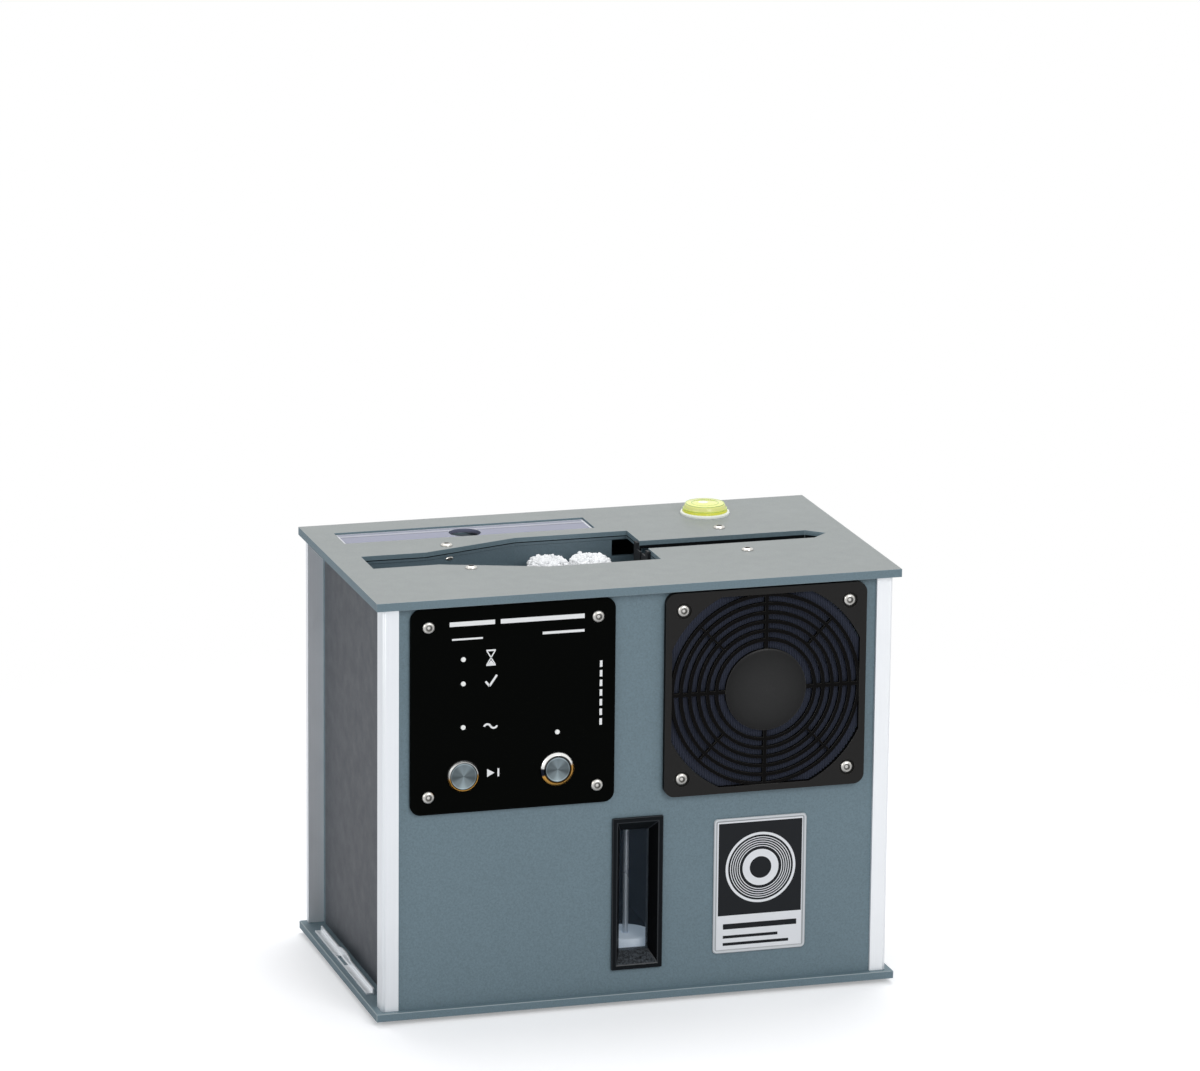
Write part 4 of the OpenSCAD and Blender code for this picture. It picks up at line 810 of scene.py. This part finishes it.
# Painted light: broad and narrow sectors fan round the cap's centre, and the fine rings are faintly
# painted as well as bumped.
way, reach = round_centre(spun, si.outputs["Centre"])
waves = math_node(spun, "SINE", math_node(spun, "MULTIPLY", reach, si.outputs["Pitch"]), 0)
bow = math_node(
    spun, "SINE", math_node(spun, "SUBTRACT", math_node(spun, "MULTIPLY", way, 2.0), 1.45), 0
)
narrow_sectors = math_node(
    spun, "SINE", math_node(spun, "ADD", math_node(spun, "MULTIPLY", way, 7.0), 0.6), 0
)
fan = math_node(
    spun, "ADD", math_node(spun, "MULTIPLY", bow, si.outputs["Bow"]),
    math_node(spun, "MULTIPLY", narrow_sectors, 0.13)
)
shade = math_node(
    spun, "ADD", fan, math_node(spun, "ADD", math_node(spun, "MULTIPLY", waves, 0.05), 1.0)
)
shade = math_node(spun, "MULTIPLY", shade, si.outputs["Shade"])
scaled(spun, si.outputs["Colour"], shade, so.inputs["Colour"])
spun.links.new(
    math_node(spun, "ADD", si.outputs["Roughness"], math_node(spun, "MULTIPLY", waves, 0.04)),
    so.inputs["Roughness"]
)
spun.links.new(waves, so.inputs["Height"])
for name, x, outer, cap, dark_reflection, gap_shade, body in (
    ("start", -0.110, 0.00975, 0.0082, 0.0, 0.8, "start_button"),
    ("power", -0.0515, 0.0105, 0.0077, 1.0, 0.08, "power_button")
):
    here = (x, control_front, 0.1525)
    well = cap + 0.00025
    lip = well + (0.0001 if name == "start" else 0.0006)
    # The third column paints shade into the well round the cap, darkest next to the cap.
    collar = [
        (well, -0.001, 0.1), (0.0085, -0.010, 0.5), (0.0085, 0.0, 0.5), (outer, 0.0, 0.6),
        (outer, 0.0009, 0.9), (outer - 0.0003, 0.0014), (lip + 0.0003, 0.0023), (lip, 0.0023, gap_shade),
        (well, 0.0021, gap_shade)
    ]
    bezel_painted_reflections = material(
        name + "_bezel_painted_reflections", ringed,
        {
            "Pale": hue("#f1f1ee"), "Warm": hue("#dba452"), "Centre": here,
            "Lean": -0.1 - 0.2 * dark_reflection, "Dark Reflection": dark_reflection, "Roughness": 0.16
        },
        0.03, 0.00005, shaded=True, Metallic=0.95
    )
    dress(turned_piece(name + "_bezel", collar, here, "Y", 128), bezel_painted_reflections, "cabinet", ["button_bezels"])
    # The third column paints a highlight on the cap's rim and shade on its side.
    disc = [
        (0.0001, -0.006), (0.004, -0.006), (0.004, 0.0006), (cap, 0.0006, 0.3), (cap, 0.0018, 0.8),
        (cap - 0.0003, 0.0022, 1.6), (cap - 0.0008, 0.0022, 1.5), (cap - 0.0010, 0.0021, 0.95),
        (0.0001, 0.00195, 1.0)
    ]
    cap_painted_sectors = material(
        name + "_cap_spun_painted_sectors", spun,
        {"Colour": hue("#717c80"), "Centre": here, "Pitch": 9000.0, "Bow": 0.4, "Roughness": 0.34},
        0.12, 0.00005, shaded=True, Metallic=0.9
    )
    dress(turned_piece(name + "_cap", disc, here, "Y", 128), cap_painted_sectors, body, [name + "_button"])
board = sheet("board_green", "#1c4a2c", 0.45, 0.5)
dress(node["circuit_board"], board)

# Fans.
# Moulded black grilles are screwed over the panels' fan holes. A navy pleated mat lies behind the
# front one, and a square fan with a seven-bladed wheel behind each.
moulded = sheet("moulded_black", "#171615", 0.42, 0.3, 0.25, 1100.0, Specular_IOR_Level=0.2)
# Paler bevel faces on the grilles are a painted highlight; the rib fronts, of the same moulding,
# are painted darker as shade.
moulded_edge_painted_highlight = sheet("moulded_edge_painted_highlight", "#3b3935", 0.35, 0.2, 0.1, 900.0, Specular_IOR_Level=0.45)
ring_painted_shade = sheet("ring_painted_shade", "#0b0a0a", 0.4, 0.3, 0.2, 1100.0, Specular_IOR_Level=0.04)
hub_painted_sheen = material(
    "hub_painted_sheen", grain,
    {"Colour": hue("#272727"), "Grain": 1100.0, "Contrast": 0.3, "Roughness": 0.36, "Wear": 0.1},
    0.2, shaded=True, Specular_IOR_Level=0.15
)
rib_front, opening = 0.0944, 0.066


# Bevel faces take the painted highlight, and rib fronts inside the opening take the painted shade.
def guard_faces(spot, facing):
    if 0.3 < abs(facing.y) < 0.95:
        return 1
    inside = math.hypot(spot.x - fan_x, spot.z - face_z) < opening
    return 2 if abs(spot.y) < rib_front and inside else 0


for name in ("front_fan_guard", "rear_fan_guard"):
    guard = bevelled(name, 0.0003, segments=1, edge_slot=1)
    dress(guard, [moulded, moulded_edge_painted_highlight, ring_painted_shade], "cabinet", [name])
    banded(guard, {}, guard_faces)
# The third column paints a sheen on the hub cover: lighter at the centre and on a thin rim, darker
# towards the edge.
cover = [
    (0.0001, 0.0, 0.5), (0.0254, 0.0, 0.5), (0.0254, 0.0001, 1.6), (0.0251, 0.0003, 0.5),
    (0.0243, 0.00055, 0.5), (0.0200, 0.0009, 0.75), (0.0120, 0.0013, 1.05), (0.0001, 0.0015, 1.25)
]
dress(
    turned_piece("guard_hub_cover", cover, (fan_x, -0.0943, face_z), "Y", 128), hub_painted_sheen, "cabinet"
)
for name in ("front_fan_frame", "rear_fan_frame", "front_fan_impeller", "rear_fan_impeller"):
    dress(node[name], moulded)
felt = sheet("filter_felt", "#363a47", 0.95, 0.3, 0.5, 2400.0, Specular_IOR_Level=0.1)
half, bow_out, pleat, folds = 0.0592, 0.0657, 0.0016, 37
fold = [(-0.0008, 0), (-0.0001, -0.0006), (0.0001, -0.0006), (0.0008, 0)]
faces = [(0, 2, 3, 1), (2, 4, 5, 3), (4, 6, 7, 5), (0, 6, 4, 2), (7, 1, 3, 5), (1, 7, 6, 0)]
tent = plain_mesh("pleat", [(x, y, z) for x, y in fold for z in (-0.5, 0.5)], faces)
rows = []
for k in range(-folds, folds + 1):
    x = k * pleat
    height = 2 * min(half, math.sqrt(bow_out * bow_out - x * x))
    rows.append((fan_x + x, -0.0914, face_z, 0, 0, 0, (1.0, 1.0, height)))
set_out("pleated_mat", tent, rows, felt, "cabinet", ["front_filter_mat"])

# Sight window.
# A rimmed frame whose walls slope in to the pane, cast with a rough skin; its edges carry a painted
# highlight, its side walls painted shade, and its sill, facing up, painted light over a coarse
# speckle. Behind it the white float rides on its rod in the reservoir, with a faint painted glow.
frame_black = sheet("window_frame", "#121518", 0.5, 0.8, 0.6, 900.0, Specular_IOR_Level=0.06)
frame_edge_painted_highlight = sheet("window_frame_edge_highlight", "#23272b", 0.4, 0.3, 0.2, Specular_IOR_Level=0.3)
frame_wall_painted_shade = sheet("window_wall_shade_painted", "#08090b", 0.5, 0.5, 0.4, 900.0, Specular_IOR_Level=0.05)
frame_sill_painted_light = sheet("window_sill_light_painted", "#363a3e", 0.55, 4.5, 0.8, 800.0, Specular_IOR_Level=0.1)
bezel = bevelled("window_bezel", 0.0004, segments=1, edge_slot=1)
dress(bezel, [frame_black, frame_edge_painted_highlight, frame_wall_painted_shade, frame_sill_painted_light], "cabinet", ["window_bezel"])
sill_top, rim_x = 0.05, 0.0155


# Up-facing faces low in the frame take the painted light, and side walls inside the rim take the
# painted shade.
def bezel_faces(spot, facing):
    if facing.z > 0.2 and spot.z < sill_top:
        return 3
    return 2 if abs(facing.x) > 0.2 and facing.y < 0.2 and abs(spot.x) < rim_x else 0


banded(bezel, {}, bezel_faces)
pane = material(
    "window_pane_clear", grain,
    {"Colour": hue("#3d4a57"), "Grain": 60.0, "Contrast": 0.3, "Roughness": 0.06, "Wear": 0.3},
    Alpha=0.14, Specular_IOR_Level=0.15
)
dress(node["window_pane"], pane)
# A faint blue emission on the float: a painted glow.
float_painted_glow = sheet(
    "float_foam_painted_glow", "#e3e8ee", 0.7, 0.14, Emission_Color=(0.62, 0.78, 0.95, 1), Emission_Strength=0.3
)
tank = sheet("tank_sheet", "#69727a", 0.5)
for name in ("reservoir", "reservoir_cover", "filler_duct"):
    dress(node[name], tank)
dress(node["float_rod"], metal("float_rod_steel", "#cfd8e0", (900, 900, 12), 0.3, metallic=0.4))
dress(bevelled("float", 0.0012), float_painted_glow, "float", ["float"])

# Name plate, left without a name.
# A pale lacquered plate stuck to the front panel, with a plain dark block, a disc pictogram and
# three rules in place of words.
lacquer = sheet("pale_lacquer", "#e3e5e8", 0.3, 0.06, 0.05, 2000.0)
dress(bevelled("name_plate", 0.0003), lacquer, "cabinet", ["name_plate"])


def rim_ring(name, centre, size, corner, rows, finish):
    """An embossed rim on the front: rows of (inset, height, shade) run round a rounded oblong, the
    shade painting light and shade across the rim.
    """
    verts, faces, shades = [], [], []
    n, count = len(rows), 36
    for k in range(count):
        a = 2 * math.pi * (k // 9) / 4 + quarter * (k % 9) / 8
        for inset, rise, shade in rows:
            r = max(corner - inset, 0.0002)
            x = math.copysign(
                size[0] / 2 - inset - r, math.cos(quarter * (k // 9) + 0.7)
            ) + r * math.cos(a)
            z = math.copysign(
                size[1] / 2 - inset - r, math.sin(quarter * (k // 9) + 0.7)
            ) + r * math.sin(a)
            verts.append((centre[0] + x, centre[1] - rise, centre[2] + z))
            shades.append(shade)
    for k in range(count):
        j = (k + 1) % count
        faces += [
            (k * n + i, j * n + i, j * n + (i + 1) % n, k * n + (i + 1) % n) for i in range(n)
        ]
    piece = plain_mesh(name, verts, faces, True)
    piece.data.attributes.new("shade", "FLOAT", "POINT").data.foreach_set("value", shades)
    b = bmesh.new()
    b.from_mesh(piece.data)
    bmesh.ops.recalc_face_normals(b, faces=b.faces)
    b.to_mesh(piece.data)
    b.free()
    dress(piece, finish, "cabinet")


lip_painted_shading = material(
    "embossed_lip", grain,
    {"Colour": hue("#ccd0d3"), "Grain": 2000.0, "Contrast": 0.06, "Roughness": 0.25, "Wear": 0.05},
    0.05, shaded=True
)
# The third column paints light and shade across the lip: a painted highlight on its crown, and
# painted shade on its slopes.
lip_rows = [
    (0, 0, 0.45), (0, 0.00025, 0.6), (0.0005, 0.0004, 1.0), (0.0011, 0.0004, 1.05),
    (0.0015, 0.0002, 0.62), (0.0019, 0.00003, 0.6), (0.0022, 0.00001, 0.9)
]
rim_ring("plate_lip", (0.078, -0.0911, 0.0696), (0.059, 0.0855), 0.0028, lip_rows, lip_painted_shading)
dark_ink = sheet("dark_ink", "#14171b", 0.4, 0.15, 0.1, 2600.0, Specular_IOR_Level=0.2)
printed(
    "plate_block", [[(51.6, 50.6), (104.8, 50.6), (104.8, 109.2), (51.6, 109.2)]], -0.09112,
    dark_ink
)
disc = [
    arc(78.5, 80, r, 0, 360, t, 96) for r,
    t in ((21.5, 1.6), (19.2, 0.5), (17.8, 0.5), (16.4, 0.5), (15, 0.5), (13.6, 0.5), (9.2, 4.6))
]
printed("plate_pictogram", disc, -0.09118, lacquer)
printed(
    "plate_rules",
    [bar(55, 43.6, 102, 43.6, 3.4), bar(55, 37, 90, 37, 1.8), bar(55, 32.4, 97, 32.4, 1.8)],
    -0.09118, dark_ink
)

# Wash tub and rollers.
# Slate walls hang from the top plate and close on a curved floor; their slate is painted darker as
# shade in the slot, and past the dry arm's start it is painted near black as shadow. Four sleeves
# of white fleece stand on geared spindles, and their pile is ragged with use.
shadow_from_x = 0.0455
for name in ("tub_front_wall", "tub_rear_wall"):
    wall = dress(bevelled(name, 0.0002, segments=1), [tub, tub_painted_shadow], "cabinet", [name])
    banded(wall, {"x": (shadow_from_x,)}, lambda spot, facing: int(spot.x > shadow_from_x))
dress(node["tub_floor"], tub)
core = sheet("core_plastic", "#dcdcd8", 0.45, 0.1)
pile_white = sheet("fleece_pile", "#f6f7f8", 0.95, 0.12, 0.6, 1400.0, Sheen_Weight=0.3)
verts = [(0, 0, -0.8)]
for r, h in ((0.8, -0.45), (1.0, 0.15), (0.6, 0.72)):
    verts += [
        (r * math.cos(k * math.pi / 3 + h), r * math.sin(k * math.pi / 3 + h), h) for k in range(6)
    ]
verts.append((0, 0, 1.0))
verts = [Vector(v) * (1 + 0.35 * noise.noise(Vector(v) * 1.7)) * 0.001 for v in verts]
faces = [(0, 1 + (k + 1) % 6, 1 + k) for k in range(6)] + [
    (13 + k, 13 + (k + 1) % 6, 19) for k in range(6)
]
faces += [
    (
        1 + 6 * s + k, 1 + 6 * s + (k + 1) % 6, 7 + 6 * s + (k + 1) % 6, 7 + 6 * s + k
    ) for s in range(2) for k in range(6)
]
tuft = plain_mesh("tuft", verts, faces, True)
tuft_count, side_share, golden_angle = 2000, 0.86, 2.399963
noise.seed_set(7)  # noise_vector starts from the clock unless it is seeded
for number, name in enumerate(("front_left", "front_right", "rear_left", "rear_right")):
    low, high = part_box(name + "_sleeve")
    axis, girth, brow = (low + high) / 2, (high.x - low.x) / 2, 0.0045
    sleeve, straight = [(0.007, low.z), (girth - 0.0012, low.z)], high.z - 0.0012 - brow - low.z
    sleeve += [(girth - 0.0010, low.z + 0.0008 + straight * k / 12) for k in range(13)]
    for a in (math.radians(v) for v in range(15, 91, 15)):
        inset, rise = brow * (1 - math.cos(a)), brow * math.sin(a)
        sleeve.append((girth - 0.0010 - inset, high.z - 0.0008 - brow + rise))
    sleeve += [(0.0001, high.z - 0.0008), (0.0001, high.z - 0.004), (0.007, high.z - 0.004)]
    body = "roller_" + name
    dress(
        turned_piece(name + "_backing", sleeve, (axis.x, axis.y, 0)), pile_white, body,
        [name + "_sleeve"]
    )
    tufts = []
    for k in range(tuft_count):
        share, around = (k + 0.5) / tuft_count, k * golden_angle
        jog = noise.noise_vector(Vector((k * 1.37, number * 7.7, 3.1)))
        size = 1.4 + 1.3 * jog.z
        if share > side_share:
            r = (girth - 0.0006) * math.sqrt((1 - share) / 0.14)
            sink = max(0, r - girth + brow + 0.0006) / brow
            fall = brow * (1 - math.sqrt(max(0, 1 - sink * sink)))
            z = high.z - 0.0012 - fall + 0.0024 * max(-0.3, jog.x)
        else:
            r = girth + 0.0002 - 0.001 * size
            z = low.z + 0.002 + (high.z - 0.003 - brow - low.z) * share / side_share
        x, y = axis.x + r * math.cos(around), axis.y + r * math.sin(around)
        tufts.append((x, y, z, 3 * jog.x, 3 * jog.y, around, size))
    set_out(name + "_pile", tuft, tufts, pile_white, body, keep=number < 3)
    dress(node[name + "_roller"], core)
dress(node["left_rim_wheel"], core)
dress(node["right_rim_wheel"], core)
dress(node["gearbox_plate"], satin_level)
dress(node["roller_motor"], metal("motor_can", "#9a9ea1", (900, 900, 12), 0.4))
dress(node["motor_pinion"], metal("pinion_brass", "#c9a24a", (900, 900, 900), 0.3))
dress(node["wiper_lips"], sheet("wiper_rubber", "#232528", 0.6, 0.3, Specular_IOR_Level=0.2))

# Works in the dry bay.
# Sound heads under the tub, pump and hose, the finned power stage, the inlet and the drain plug.
# They are bought parts of steel, moulded plastic, silicone and cast aluminium, screwed in place.
dress(node["ultrasonic_transducers"], turned)
dress(node["pump"], moulded)
dress(node["fill_hose"], sheet("silicone_hose", "#d9d9d2", 0.4, 0.1))
dress(node["ultrasonic_driver"], satin_level)
dress(node["power_inlet"], moulded)
dress(node["drain_plug"], moulded)
